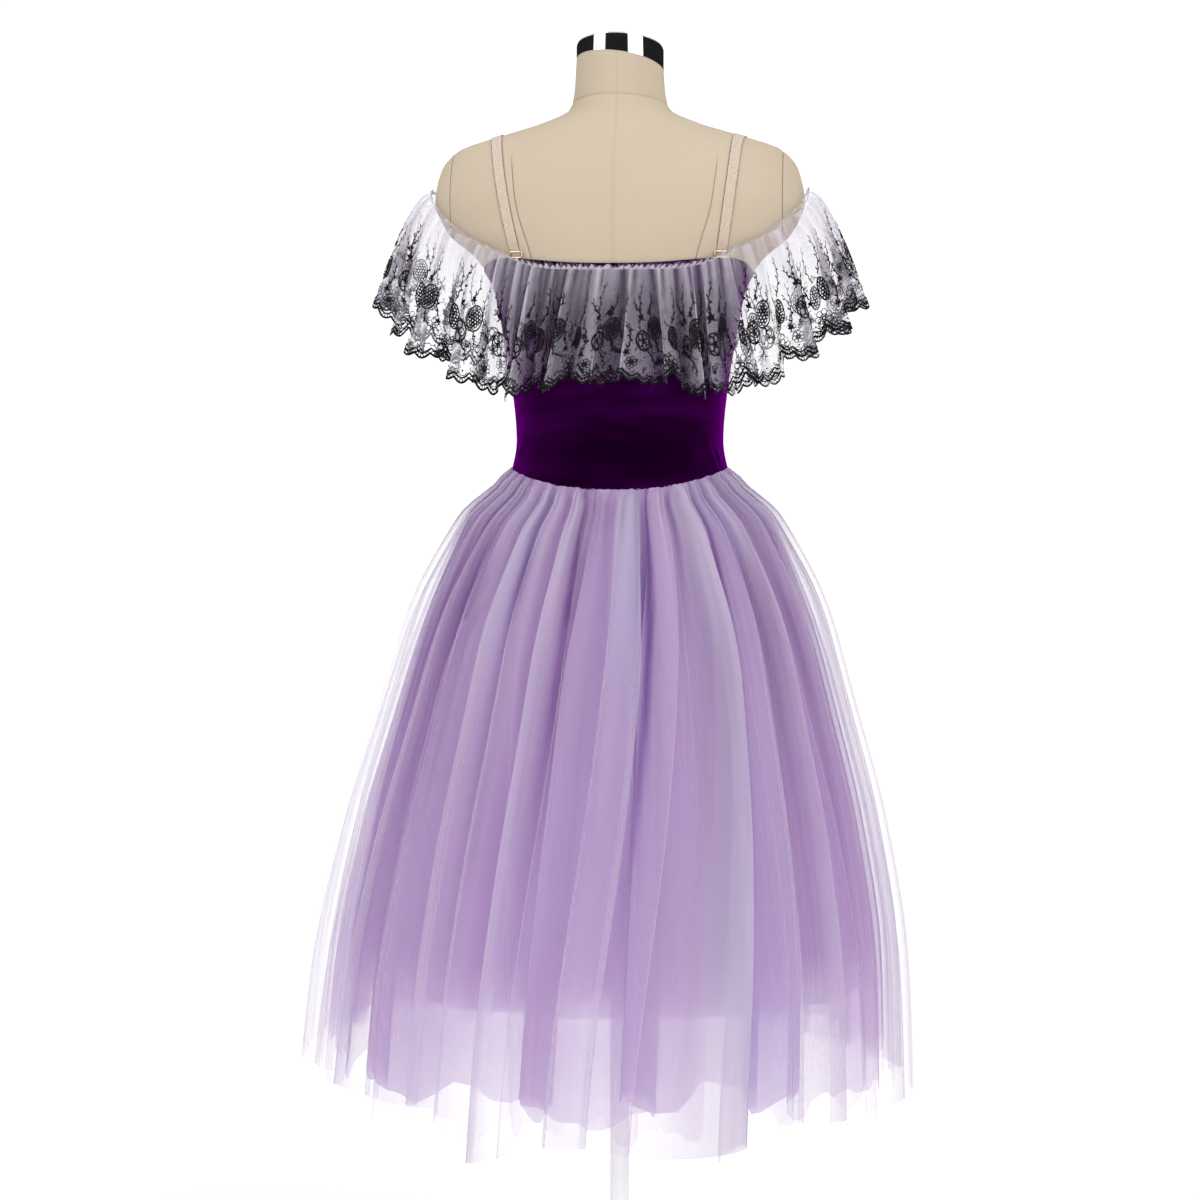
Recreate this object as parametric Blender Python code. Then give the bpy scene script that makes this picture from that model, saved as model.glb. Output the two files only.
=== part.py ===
"""A romantic-length ballet tutu dress on a limbless dress form with a pole stand.

Metres, +Z up. The dress faces -Y, and the origin is the centre of the stand's underside.
Levels are heights over the waist line, which is WAIST_HEIGHT over the floor. Going round the
body, a turn of 0 is the centre back (+Y) and a quarter turn is the +X side.
"""

import math
from collections import namedtuple

import bmesh
import bpy
import numpy as np

WAIST_HEIGHT = 1.030
SEAM_GAP = 0.0003
FULL_TURN = 2 * math.pi

# ---------------------------------------------------------------- dress form
Section = namedtuple("Section", "level half_width back front squareness")
FORM_SECTIONS = (
    Section(-0.262, 0.150, 0.104, 0.092, 2.3),
    Section(-0.200, 0.163, 0.118, 0.098, 2.3),
    Section(-0.120, 0.152, 0.110, 0.098, 2.3),
    Section(-0.050, 0.125, 0.088, 0.088, 2.3),
    Section(0.000, 0.115, 0.078, 0.082, 2.3),
    Section(0.060, 0.120, 0.080, 0.090, 2.4),
    Section(0.120, 0.130, 0.088, 0.100, 2.5),
    Section(0.170, 0.140, 0.095, 0.108, 2.7),
    Section(0.205, 0.162, 0.099, 0.106, 2.9),
    Section(0.232, 0.193, 0.101, 0.100, 3.0),
    Section(0.268, 0.208, 0.100, 0.090, 3.0),
    Section(0.302, 0.2015, 0.091, 0.077, 2.9),
    Section(0.3245, 0.183, 0.081, 0.067, 2.7),
    Section(0.343, 0.130, 0.068, 0.060, 2.5),
    Section(0.355, 0.091, 0.059, 0.056, 2.2),
    Section(0.3725, 0.0555, 0.0535, 0.0535, 2.0),
    Section(0.392, 0.0510, 0.0510, 0.0510, 2.0),
    Section(0.4205, 0.0490, 0.0490, 0.0490, 2.0),
)
HIP_RINGS = (-0.262, -0.245, -0.195, -0.130, -0.075)
BODICE_RINGS = (-0.020, 0.005, 0.030, 0.055, 0.080, 0.105, 0.125, 0.145, 0.165, 0.185)
SHOULDER_RINGS = (0.206, 0.221, 0.236, 0.252, 0.268, 0.285, 0.302, 0.316, 0.329, 0.343,
                  0.355, 0.366, 0.379, 0.394, 0.4205)
FORM_RINGS = HIP_RINGS + BODICE_RINGS + SHOULDER_RINGS
FORM_COLUMNS = 32
HIP_EDGE_ROUND = 0.012
BUST_APART = 0.070
BUST_LEVEL = 0.150
BUST_SPREAD = 0.048
BUST_PROUD = 0.016
NECK_TILT_START = 0.372
NECK_TOP = 0.4205
NECK_TILT = math.radians(14.0)
NECK_ROLL = math.radians(7.0)
ARM_CAP_PLANE = 0.1845

CAP_RADIUS = 0.0490
CAP_TOP = 0.4520
CAP_EDGE = 0.0030
CAP_COLUMNS = 40

# --------------------------------------------------------------------- stand
POLE_RADIUS = 0.011
BASE_RADIUS = 0.175
BASE_EDGE = 0.005
BASE_RISE = 0.009
HUB_RADIUS = 0.021
HUB_TOP = 0.058
SOCKET_FLOOR = 0.012
STAND_COLUMNS = 32

# -------------------------------------------------------------------- bodice
BODICE_CLEAR = 0.0009
VELVET = 0.0015
BODICE_TOP_BACK = 0.196
BODICE_TOP_FRONT = 0.192
BODICE_TOP_UNDERARM = 0.189
BODICE_STRAP_RISE = 0.007
SEAM_SIDE = -0.032
SEAM_DIP = 0.022
BODICE_COLUMNS = FORM_COLUMNS // 2

# --------------------------------------------------------------------- skirt
TULLE = 0.0012
SKIRT_FOLDS = 34
COLUMNS_A_FOLD = 5
FIRST_FOLD_ANGLE = math.radians(54)
UNEVEN_BROAD = 0.045
UNEVEN_CLOSE = 0.032
DEEPEST_FOLD = 1.16
SKIRT_LEAN = 0.017
SKIRT_LENGTH = 0.710
Flare = namedtuple("Flare", "drop half_width depth_share fold_depth layer_gap")
SKIRT_FLARE = (
    Flare(0.000, 0.1300, 0.75, 0.0000, 0.0026),
    Flare(0.036, 0.1690, 0.79, 0.0028, 0.0036),
    Flare(0.100, 0.2075, 0.84, 0.0055, 0.0055),
    Flare(0.180, 0.2445, 0.88, 0.0078, 0.0070),
    Flare(0.280, 0.2785, 0.905, 0.0098, 0.0078),
    Flare(0.400, 0.3135, 0.92, 0.0112, 0.0082),
    Flare(0.550, 0.3425, 0.93, 0.0124, 0.0085),
    Flare(0.730, 0.3565, 0.94, 0.0140, 0.0088),
)
SEAM_EDGE = 0.0095
Layer = namedtuple("Layer", "name nested hem hem_lift hem_tail hem_points rows")
TULLE_LAYERS = (
    Layer("skirt_outer_tulle", 0, -0.716, 0.022, 0.030, 0.006, (0, 0.05, 0.15, 0.35, 0.65, 1)),
    Layer("skirt_middle_tulle", 1, -0.690, 0.008, 0.000, 0.005, (0, 0.05, 0.17, 0.42, 0.72, 1)),
)
TAIL_TURN = math.radians(-8)
TAIL_HALF_WIDTH = math.radians(25)
LINING_FOLDS = 16
LINING_COLUMNS_A_FOLD = 4
LINING_HEM = -0.608
LINING_LIFT = 0.004
LINING_FOLD_DEPTH = 0.0055
LINING_CLEAR = 0.0045
LINING_ROWS = (0, 0.06, 0.204, 0.52, 1)

# -------------------------------------------------------------------- ruffle
LACE = 0.0012
RUFFLE_CLEAR = 0.0004
RUFFLE_WAVES = 28
COLUMNS_A_WAVE = 5
RUFFLE_TOP_BACK = 0.190
RUFFLE_TOP_FRONT = 0.186
RUFFLE_TOP_SHOULDER = 0.279
RUFFLE_DROP = 0.127
RUFFLE_CORNER_DROP = 0.022
RUFFLE_FLARE = 0.034
RUFFLE_FLARE_SIDE = 0.020
RUFFLE_WAVE_DEPTH = 0.0130
RUFFLE_SCALLOP = 0.008
RUFFLE_ROWS = (0, 0.16, 0.52, 1)
HEADING_LIFT = 0.0010
HEADING_HEIGHT = 0.0050
HEADING_COLUMNS = 56

# -------------------------------------------------------------------- straps
STRAP_WIDTH = 0.012
STRAP_CLOTH = 0.0012
STRAP_CLEAR = 0.0013
STRAP_TOP_CROWDING = 0.75
Strap = namedtuple("Strap", "label side back_x shoulder_x front_x")
STRAPS = (
    Strap("left", 1, 0.108, 0.137, 0.104),
    Strap("right", -1, 0.118, 0.137, 0.104),
)
STRAP_FOOT_TURN = math.radians(36)
STRAP_ROWS = 24
STRAP_CENTRE = 0.200
SLIDER_WIDTH = 0.0145
SLIDER_HEIGHT = 0.0065
SLIDER_CORNER = 0.0020
SLIDER_WIRE = 0.0007
SLIDER_CORNER_STEPS = 3


# ------------------------------------------------------------------- helpers
def curve_through(keys, values, at):
    """A smooth curve through the values, without overshoot, read at one or more keys."""
    keys = np.asarray(keys, float)
    values = np.asarray(values, float)
    slopes = np.diff(values) / np.diff(keys)
    before, after = slopes[:-1], slopes[1:]
    turning = before * after <= 0
    total = np.where(turning, 1.0, before + after)
    middle = np.where(turning, 0.0, 2 * before * after / total)
    tangents = np.concatenate((slopes[:1], middle, slopes[-1:]))
    at = np.clip(np.asarray(at, float), keys[0], keys[-1])
    left = np.clip(np.searchsorted(keys, at) - 1, 0, len(slopes) - 1)
    width = keys[left + 1] - keys[left]
    share = (at - keys[left]) / width
    ease = share * share * (3 - 2 * share)
    bend_in = share * (1 - share) ** 2 * width
    bend_out = share * share * (share - 1) * width
    return (values[left] * (1 - ease) + values[left + 1] * ease
            + tangents[left] * bend_in + tangents[left + 1] * bend_out)


def column(rows, name):
    return [getattr(row, name) for row in rows]


def read_section(name, level):
    return curve_through(column(FORM_SECTIONS, "level"), column(FORM_SECTIONS, name), level)


def read_flare(name, drop):
    return curve_through(column(SKIRT_FLARE, "drop"), column(SKIRT_FLARE, name), drop)


def bust_proud(x, level):
    """How far each of the two plain bust mounds stands out of the front."""
    across = (np.abs(x) - BUST_APART) / BUST_SPREAD
    along = (level - BUST_LEVEL) / BUST_SPREAD
    return BUST_PROUD * np.exp(-across * across - along * along)


def form_ring(turn, level, away=0.0):
    """Point and outward direction, in plan, on the form's surface moved out by away."""
    half_width = read_section("half_width", level)
    square = read_section("squareness", level)
    sine, cosine = np.sin(turn), np.cos(turn)
    x = half_width * np.sign(sine) * np.abs(sine) ** (2 / square)
    front = read_section("front", level) + bust_proud(x, level)
    depth = np.where(cosine > 0, read_section("back", level), front)
    y = depth * np.sign(cosine) * np.abs(cosine) ** (2 / square)
    lean_x = np.sign(x) * (np.abs(x) / half_width) ** (square - 1) / half_width
    lean_y = np.sign(y) * (np.abs(y) / depth) ** (square - 1) / depth
    length = np.hypot(lean_x, lean_y)
    out_x, out_y = lean_x / length, lean_y / length
    return x + away * out_x, y + away * out_y, out_x, out_y


def form_facet(turn, level, away):
    """A point moved out by away from the form's own facets, between two of its rings."""
    rings = np.asarray(FORM_RINGS)
    above = np.clip(np.searchsorted(rings, level), 1, len(rings) - 1)
    low, high = rings[above - 1], rings[above]
    share = (level - low) / (high - low)
    low_x, low_y, _, _ = form_ring(turn, low, away)
    high_x, high_y, _, _ = form_ring(turn, high, away)
    return low_x + (high_x - low_x) * share, low_y + (high_y - low_y) * share


def seam_level(turn):
    """The waist seam: high at the sides, and dipped at the centre back and front."""
    return SEAM_SIDE - SEAM_DIP * np.cos(turn) ** 2


def new_grid(columns, rows):
    mesh = bmesh.new()
    bmesh.ops.create_grid(mesh, x_segments=columns, y_segments=rows, size=0.5)
    return mesh


def map_grid(mesh, surface):
    """Moves a unit grid onto a surface given by two shares, each from 0 to 1."""
    shares = np.array([vert.co[:2] for vert in mesh.verts]) + 0.5
    places = np.stack(surface(shares[:, 0], shares[:, 1]), axis=-1)
    for vert, place in zip(mesh.verts, places):
        vert.co = place


def close_round(mesh):
    """Joins a tube's first column to its last."""
    bmesh.ops.remove_doubles(mesh, verts=mesh.verts, dist=1e-6)


def fill_ends(mesh):
    open_edges = [edge for edge in mesh.edges if edge.is_boundary]
    bmesh.ops.holes_fill(mesh, edges=open_edges, sides=0)
    bmesh.ops.recalc_face_normals(mesh, faces=mesh.faces)


def finish(name, mesh, material, wall=0.0, side=0.0):
    """Makes the object. A wall above 0 thickens its sheet: side -1 inward, 0 both ways, 1 outward."""
    data = bpy.data.meshes.new(name)
    mesh.to_mesh(data)
    mesh.free()
    data.shade_smooth()
    data.materials.append(material)
    piece = bpy.data.objects.new(name, data)
    bpy.context.scene.collection.objects.link(piece)
    if wall:
        thicken = piece.modifiers.new("wall", "SOLIDIFY")
        thicken.thickness = wall
        thicken.offset = side
        thicken.use_even_offset = True
    return piece


def make_material(name, colour, roughness, metallic=0.0):
    material = bpy.data.materials.new(name)
    material.use_nodes = True
    shader = material.node_tree.nodes["Principled BSDF"]
    shader.inputs["Base Color"].default_value = (*colour, 1.0)
    shader.inputs["Roughness"].default_value = roughness
    shader.inputs["Metallic"].default_value = metallic
    return material


def spaced(values):
    """A function that reads a row's share of the length from its place in the grid."""
    places = np.linspace(0, 1, len(values))
    return lambda share: np.interp(share, places, values)


# ---------------------------------------------------------------- dress form
def neck_plane(x, y, level):
    """The lift of a neck ring whose plane tips forward, and a little to one side."""
    share = np.clip((level - NECK_TILT_START) / (NECK_TOP - NECK_TILT_START), 0, 1)
    return share * (y * math.tan(NECK_TILT) + x * math.tan(NECK_ROLL))


def form_mesh():
    mesh = new_grid(FORM_COLUMNS, len(FORM_RINGS) - 1)
    level_of = spaced(FORM_RINGS[::-1])

    def surface(around, down):
        level = level_of(down)
        tuck = HIP_EDGE_ROUND * np.clip(1 - (level - FORM_RINGS[0]) / HIP_EDGE_ROUND, 0, 1)
        x, y, _, _ = form_ring(around * FULL_TURN, level, -tuck)
        return x, y, WAIST_HEIGHT + level + neck_plane(x, y, level)

    map_grid(mesh, surface)
    close_round(mesh)
    fill_ends(mesh)
    return mesh


def cut_away(mesh, x, keep_above):
    """Cuts the closed mesh by an upright plane at x, and closes the cut."""
    everything = list(mesh.verts) + list(mesh.edges) + list(mesh.faces)
    bmesh.ops.bisect_plane(mesh, geom=everything, plane_co=(x, 0, 0), plane_no=(1, 0, 0),
                           clear_outer=not keep_above, clear_inner=keep_above)
    fill_ends(mesh)


def build_form(linen):
    torso = form_mesh()
    cut_away(torso, ARM_CAP_PLANE, keep_above=False)
    cut_away(torso, -ARM_CAP_PLANE, keep_above=True)
    finish("form_torso", torso, linen)
    for name, side in (("form_arm_cap_left", 1), ("form_arm_cap_right", -1)):
        cap = form_mesh()
        cut_away(cap, side * (ARM_CAP_PLANE + SEAM_GAP), keep_above=side > 0)
        finish(name, cap, linen)


def build_neck_cap(chrome):
    """A metal cap whose foot lies along the tipped neck and whose top is level."""
    heights = (0, 1, 1)
    mesh = new_grid(CAP_COLUMNS, len(heights) - 1)

    def surface(around, down):
        top_share = np.where(down < 0.75, 1.0, 0.0)
        rim = np.where(down < 0.25, 1.0, 0.0)
        turn = around * FULL_TURN
        radius = CAP_RADIUS - CAP_EDGE * rim
        x, y = radius * np.sin(turn), radius * np.cos(turn)
        foot = NECK_TOP + SEAM_GAP + neck_plane(x, y, NECK_TOP)
        top = CAP_TOP - CAP_EDGE * (1 - rim)
        return x, y, WAIST_HEIGHT + foot + (top - foot) * top_share

    map_grid(mesh, surface)
    close_round(mesh)
    fill_ends(mesh)
    finish("form_neck_cap", mesh, chrome)


# --------------------------------------------------------------------- stand
def turned(name, profile, material):
    """A solid turned about the upright axis from a profile that starts and ends on it."""
    mesh = bmesh.new()
    verts = [mesh.verts.new((radius, 0, height)) for radius, height in profile]
    edges = [mesh.edges.new(pair) for pair in zip(verts, verts[1:])]
    bmesh.ops.spin(mesh, geom=verts + edges, cent=(0, 0, 0), axis=(0, 0, 1), dvec=(0, 0, 0),
                   angle=FULL_TURN, steps=STAND_COLUMNS, use_merge=True)
    bmesh.ops.remove_doubles(mesh, verts=mesh.verts, dist=1e-6)
    bmesh.ops.recalc_face_normals(mesh, faces=mesh.faces)
    finish(name, mesh, material)


def build_stand(white_metal):
    socket = POLE_RADIUS + SEAM_GAP
    turned("stand_base", (
        (0, 0), (BASE_RADIUS, 0), (BASE_RADIUS, BASE_EDGE), (BASE_RADIUS - 0.012, BASE_RISE),
        (HUB_RADIUS + 0.008, BASE_RISE + 0.003), (HUB_RADIUS, BASE_RISE + 0.010),
        (HUB_RADIUS, HUB_TOP), (socket, HUB_TOP), (socket, SOCKET_FLOOR), (0, SOCKET_FLOOR),
    ), white_metal)
    pole_top = WAIST_HEIGHT + FORM_RINGS[0] - SEAM_GAP
    turned("stand_pole", (
        (0, SOCKET_FLOOR + SEAM_GAP), (POLE_RADIUS, SOCKET_FLOOR + SEAM_GAP),
        (POLE_RADIUS, pole_top), (0, pole_top),
    ), white_metal)


# -------------------------------------------------------------------- bodice
def bodice_top(turn):
    ends = np.where(np.cos(turn) > 0, BODICE_TOP_BACK, BODICE_TOP_FRONT)
    dip = (ends - BODICE_TOP_UNDERARM) * np.abs(np.sin(turn)) ** 6
    return ends - dip + BODICE_STRAP_RISE * np.sin(2 * turn) ** 2


def build_bodice(velvet):
    """Two shaped panels that meet at the side seams."""
    half_gap = SEAM_GAP / 2 / read_section("half_width", BUST_LEVEL)
    for name, centre in (("bodice_back", 0.0), ("bodice_front", math.pi)):
        last = len(BODICE_RINGS) + 1
        mesh = new_grid(BODICE_COLUMNS, last)

        def surface(around, down, centre=centre):
            turn = centre + (2 * around - 1) * (math.pi / 2 - half_gap)
            row = np.rint(down * last).astype(int)
            rings = np.array((0.0, *BODICE_RINGS[::-1], 0.0))[row]
            level = np.where(row == 0, bodice_top(turn), rings)
            level = np.where(row == last, seam_level(turn), level)
            x, y = form_facet(turn, level, BODICE_CLEAR)
            return x, y, WAIST_HEIGHT + level

        map_grid(mesh, surface)
        finish(name, mesh, velvet, VELVET, 1.0)


# --------------------------------------------------------------------- skirt
def uneven(turn, folds, shift):
    """The angle within the folds, some of which are wide and some narrow."""
    broad, close = UNEVEN_BROAD * np.sin(3 * turn + shift), UNEVEN_CLOSE * np.sin(7 * turn + 2 * shift)
    return folds * (turn + broad + close)


def fold_columns(folds, a_fold, shift, first_angle):
    """Turns for a ring of columns that reach the same places of each uneven fold."""
    fine = np.linspace(-0.1, FULL_TURN + 0.1, 20000)
    angles = uneven(fine, folds, shift)
    start = np.ceil((uneven(0.0, folds, shift) - first_angle) / FULL_TURN) * FULL_TURN + first_angle
    wanted = start + np.arange(folds * a_fold) * FULL_TURN / a_fold
    turns = np.interp(wanted, angles, fine)
    return np.append(turns, turns[0] + FULL_TURN)


def fold_strength(turn, shift):
    """How deep each fold is, against the table, up to DEEPEST_FOLD."""
    change = 0.17 * np.sin(5 * turn + shift) + 0.15 * np.sin(11 * turn + 3 * shift)
    return DEEPEST_FOLD - 0.32 + change


def skirt_ring(turn, drop, inward):
    """A ring of the flared bell, drawn in by some length, over its seam-to-hem drop."""
    start_x, start_y, _, _ = form_ring(turn, seam_level(turn), SEAM_EDGE)
    half_width = read_flare("half_width", drop)
    half_depth = half_width * read_flare("depth_share", drop)
    blend = np.clip(drop / SKIRT_FLARE[1].drop, 0, 1)
    bell_x, bell_y = half_width * np.sin(turn), half_depth * np.cos(turn)
    x = start_x + (bell_x - start_x) * blend
    y = start_y + (bell_y - start_y) * blend
    out_x, out_y = np.sin(turn), np.cos(turn) / np.maximum(half_depth / half_width, 0.1)
    length = np.hypot(out_x, out_y)
    lean = SKIRT_LEAN * np.clip(drop / SKIRT_LENGTH, 0, None) ** 1.5
    return x - inward * out_x / length + lean, y - inward * out_y / length


def build_tulle(layer, tulle):
    turns = fold_columns(SKIRT_FOLDS, COLUMNS_A_FOLD, 0.4, FIRST_FOLD_ANGLE)
    mesh = new_grid(len(turns) - 1, len(layer.rows) - 1)
    turn_of, share_of = spaced(turns), spaced(layer.rows)

    def surface(around, down):
        turn, share = turn_of(around), share_of(down)
        wave = np.sin(uneven(turn, SKIRT_FOLDS, 0.4))
        seam = seam_level(turn)
        from_tail = np.abs((turn - TAIL_TURN + math.pi) % FULL_TURN - math.pi)
        tail = layer.hem_tail * np.exp(-(from_tail / TAIL_HALF_WIDTH) ** 4)
        hem = layer.hem + layer.hem_lift * np.sin(turn) - tail - layer.hem_points * wave
        drop = (seam - hem) * share
        depth = read_flare("fold_depth", drop) * fold_strength(turn, 0.4)
        inward = depth * (1 - wave) + layer.nested * read_flare("layer_gap", drop)
        x, y = skirt_ring(turn, drop, inward)
        return x, y, WAIST_HEIGHT + seam - drop

    map_grid(mesh, surface)
    close_round(mesh)
    finish(layer.name, mesh, tulle, TULLE)


def build_lining(satin):
    turns = fold_columns(LINING_FOLDS, LINING_COLUMNS_A_FOLD, 1.9, 0.0)
    mesh = new_grid(len(turns) - 1, len(LINING_ROWS) - 1)
    turn_of, share_of = spaced(turns), spaced(LINING_ROWS)

    def surface(around, down):
        turn, share = turn_of(around), share_of(down)
        seam = seam_level(turn)
        drop = (seam - LINING_HEM - LINING_LIFT * np.sin(turn)) * share
        ease = np.clip(drop / SKIRT_FLARE[2].drop, 0, 1)
        gap = read_flare("layer_gap", drop)
        tulle_room = DEEPEST_FOLD * 2 * read_flare("fold_depth", drop) + gap
        wave = np.sin(uneven(turn, LINING_FOLDS, 1.9))
        own_room = SKIRT_FLARE[0].layer_gap + ease * (LINING_CLEAR - SKIRT_FLARE[0].layer_gap)
        inward = tulle_room + own_room + ease * LINING_FOLD_DEPTH * (1 - wave)
        x, y = skirt_ring(turn, drop, inward)
        return x, y, WAIST_HEIGHT + seam - drop

    map_grid(mesh, surface)
    close_round(mesh)
    finish("skirt_lining", mesh, satin, TULLE)


# -------------------------------------------------------------------- ruffle
def ruffle_top(turn):
    ends = np.where(np.cos(turn) > 0, RUFFLE_TOP_BACK, RUFFLE_TOP_FRONT)
    return ends + (RUFFLE_TOP_SHOULDER - ends) * np.sin(turn) ** 4


def ruffle_away():
    """From the form out to the middle of the lace wall, over the bodice."""
    return BODICE_CLEAR + VELVET + RUFFLE_CLEAR + LACE


def build_ruffle(net):
    turns = fold_columns(RUFFLE_WAVES, COLUMNS_A_WAVE, 0.9, math.radians(30))
    turn_of, share_of = spaced(turns), spaced(RUFFLE_ROWS)
    mesh = new_grid(len(turns) - 1, len(RUFFLE_ROWS) - 1)

    def surface(around, down):
        turn, share = turn_of(around), share_of(down)
        top = ruffle_top(turn)
        x, y, out_x, out_y = form_ring(turn, top, ruffle_away())
        wave = np.sin(uneven(turn, RUFFLE_WAVES, 0.9)) * fold_strength(turn, 0.9)
        corner = np.sin(2 * turn) ** 2
        drop = RUFFLE_DROP + RUFFLE_CORNER_DROP * corner + RUFFLE_SCALLOP * wave
        flare = RUFFLE_FLARE + RUFFLE_FLARE_SIDE * np.sin(turn) ** 2
        away = flare * share ** 0.8 + RUFFLE_WAVE_DEPTH * wave * share
        return x + away * out_x, y + away * out_y, WAIST_HEIGHT + top - drop * share

    map_grid(mesh, surface)
    close_round(mesh)
    finish("ruffle_lace", mesh, net, LACE)


def build_heading(net):
    """The narrow gathered heading that stands over the ruffle's top edge."""
    mesh = new_grid(HEADING_COLUMNS, 1)

    def surface(around, down):
        turn = around * FULL_TURN
        level = ruffle_top(turn) + HEADING_LIFT + HEADING_HEIGHT * (1 - down)
        x, y, _, _ = form_ring(turn, level, ruffle_away())
        return x, y, WAIST_HEIGHT + level

    map_grid(mesh, surface)
    close_round(mesh)
    finish("ruffle_heading", mesh, net, LACE)


# -------------------------------------------------------------------- straps
def outside_form(x, y, level):
    """Above 0 outside the form's surface and below 0 inside it."""
    front = read_section("front", level) + bust_proud(x, level)
    depth = np.where(y > 0, read_section("back", level), front)
    square = read_section("squareness", level)
    half_width = read_section("half_width", level)
    return (np.abs(x) / half_width) ** square + (np.abs(y) / depth) ** square - 1


def over_shoulder(x, angle, away):
    """A point off the form beside x, on a ray that leaves the strap's centre at an angle."""
    across, up = np.cos(angle), np.sin(angle)
    near, far = np.zeros_like(angle), np.full_like(angle, 0.25)
    for _ in range(40):
        middle = (near + far) / 2
        inside = outside_form(x, middle * across, STRAP_CENTRE + middle * up) < 0
        near, far = np.where(inside, middle, near), np.where(inside, far, middle)
    y, level = near * across, STRAP_CENTRE + near * up
    step = 1e-4
    slope = np.stack([
        outside_form(x + step, y, level) - outside_form(x - step, y, level),
        outside_form(x, y + step, level) - outside_form(x, y - step, level),
        outside_form(x, y, level + step) - outside_form(x, y, level - step),
    ])
    out = slope / np.linalg.norm(slope, axis=0)
    return x + away * out[0], y + away * out[1], WAIST_HEIGHT + level + away * out[2]


def angle_at(x, level, back):
    """The angle whose ray meets the form at a level, at the back or at the front."""
    depth = read_section("back", level)
    if not back:
        depth = read_section("front", level) + bust_proud(x, level)
    square = read_section("squareness", level)
    reach = (1 - (abs(x) / read_section("half_width", level)) ** square) ** (1 / square)
    y = depth * reach
    return math.atan2(level - STRAP_CENTRE, y if back else -y) % FULL_TURN


def slider_level():
    foot = float(bodice_top(STRAP_FOOT_TURN))
    return foot + SEAM_GAP + SLIDER_WIRE + SLIDER_HEIGHT / 2


def build_strap(strap, elastic):
    mesh = new_grid(2, STRAP_ROWS)
    low_back = slider_level() + SLIDER_HEIGHT / 2 + SLIDER_WIRE + SEAM_GAP
    low_front = BODICE_TOP_FRONT + BODICE_STRAP_RISE + SEAM_GAP
    start = angle_at(strap.back_x, low_back, back=True)
    end = angle_at(strap.front_x, low_front, back=False)
    across_form = (strap.back_x, strap.shoulder_x, strap.front_x)

    def surface(across, along):
        crowded = along + STRAP_TOP_CROWDING * np.sin(FULL_TURN * along) / FULL_TURN
        angle = start + (end - start) * crowded
        x = strap.side * curve_through((0, 0.5, 1), across_form, crowded)
        x = x + strap.side * (across - 0.5) * STRAP_WIDTH
        return over_shoulder(x, angle, STRAP_CLEAR + STRAP_CLOTH / 2)

    map_grid(mesh, surface)
    finish(f"strap_{strap.label}", mesh, elastic, STRAP_CLOTH)


def build_slider(strap, metal):
    """A rounded rectangle of wire, which joins the strap to the bodice's top edge."""
    quarter = np.linspace(0, math.pi / 2, SLIDER_CORNER_STEPS)
    across, up = [], []
    for corner, (sign_x, sign_z) in enumerate(((1, 1), (-1, 1), (-1, -1), (1, -1))):
        angle = quarter + corner * math.pi / 2
        across.append(sign_x * (SLIDER_WIDTH / 2 - SLIDER_CORNER) + SLIDER_CORNER * np.cos(angle))
        up.append(sign_z * (SLIDER_HEIGHT / 2 - SLIDER_CORNER) + SLIDER_CORNER * np.sin(angle))
    name = f"strap_slider_{strap.label}"
    x = strap.side * strap.back_x + np.concatenate(across)
    levels = slider_level() + np.concatenate(up)
    angles = np.array([angle_at(*place, back=True) for place in zip(x, levels)])
    places = np.stack(over_shoulder(x, angles, STRAP_CLEAR + SLIDER_WIRE), axis=-1)
    wire = bpy.data.curves.new(name, "CURVE")
    wire.dimensions = "3D"
    wire.bevel_depth = SLIDER_WIRE
    wire.bevel_resolution = 1
    loop = wire.splines.new("POLY")
    loop.points.add(len(places) - 1)
    for point, place in zip(loop.points, places):
        point.co = (*place, 1.0)
    loop.use_cyclic_u = True
    wire.materials.append(metal)
    bpy.context.scene.collection.objects.link(bpy.data.objects.new(name, wire))


def main():
    for old in list(bpy.data.objects):
        bpy.data.objects.remove(old)
    linen = make_material("linen", (0.68, 0.58, 0.46), 0.85)
    chrome = make_material("chrome", (0.80, 0.80, 0.80), 0.10, 1.0)
    white_metal = make_material("white_metal", (0.90, 0.90, 0.90), 0.40)
    velvet = make_material("purple_velvet", (0.06, 0.004, 0.09), 0.80)
    tulle = make_material("lilac_tulle", (0.55, 0.42, 0.68), 0.80)
    satin = make_material("lilac_lining", (0.48, 0.34, 0.62), 0.70)
    net = make_material("white_net", (0.85, 0.83, 0.88), 0.80)
    elastic = make_material("nude_elastic", (0.58, 0.44, 0.38), 0.75)
    gold = make_material("gold_wire", (0.75, 0.58, 0.35), 0.25, 1.0)
    build_form(linen)
    build_neck_cap(chrome)
    build_stand(white_metal)
    build_bodice(velvet)
    for layer in TULLE_LAYERS:
        build_tulle(layer, tulle)
    build_lining(satin)
    build_ruffle(net)
    build_heading(net)
    for strap in STRAPS:
        build_strap(strap, elastic)
        build_slider(strap, gold)


main()
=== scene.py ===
import math
import random
from collections import namedtuple

import bmesh
import bpy
import numpy as np
from mathutils import Matrix, Vector


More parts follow.
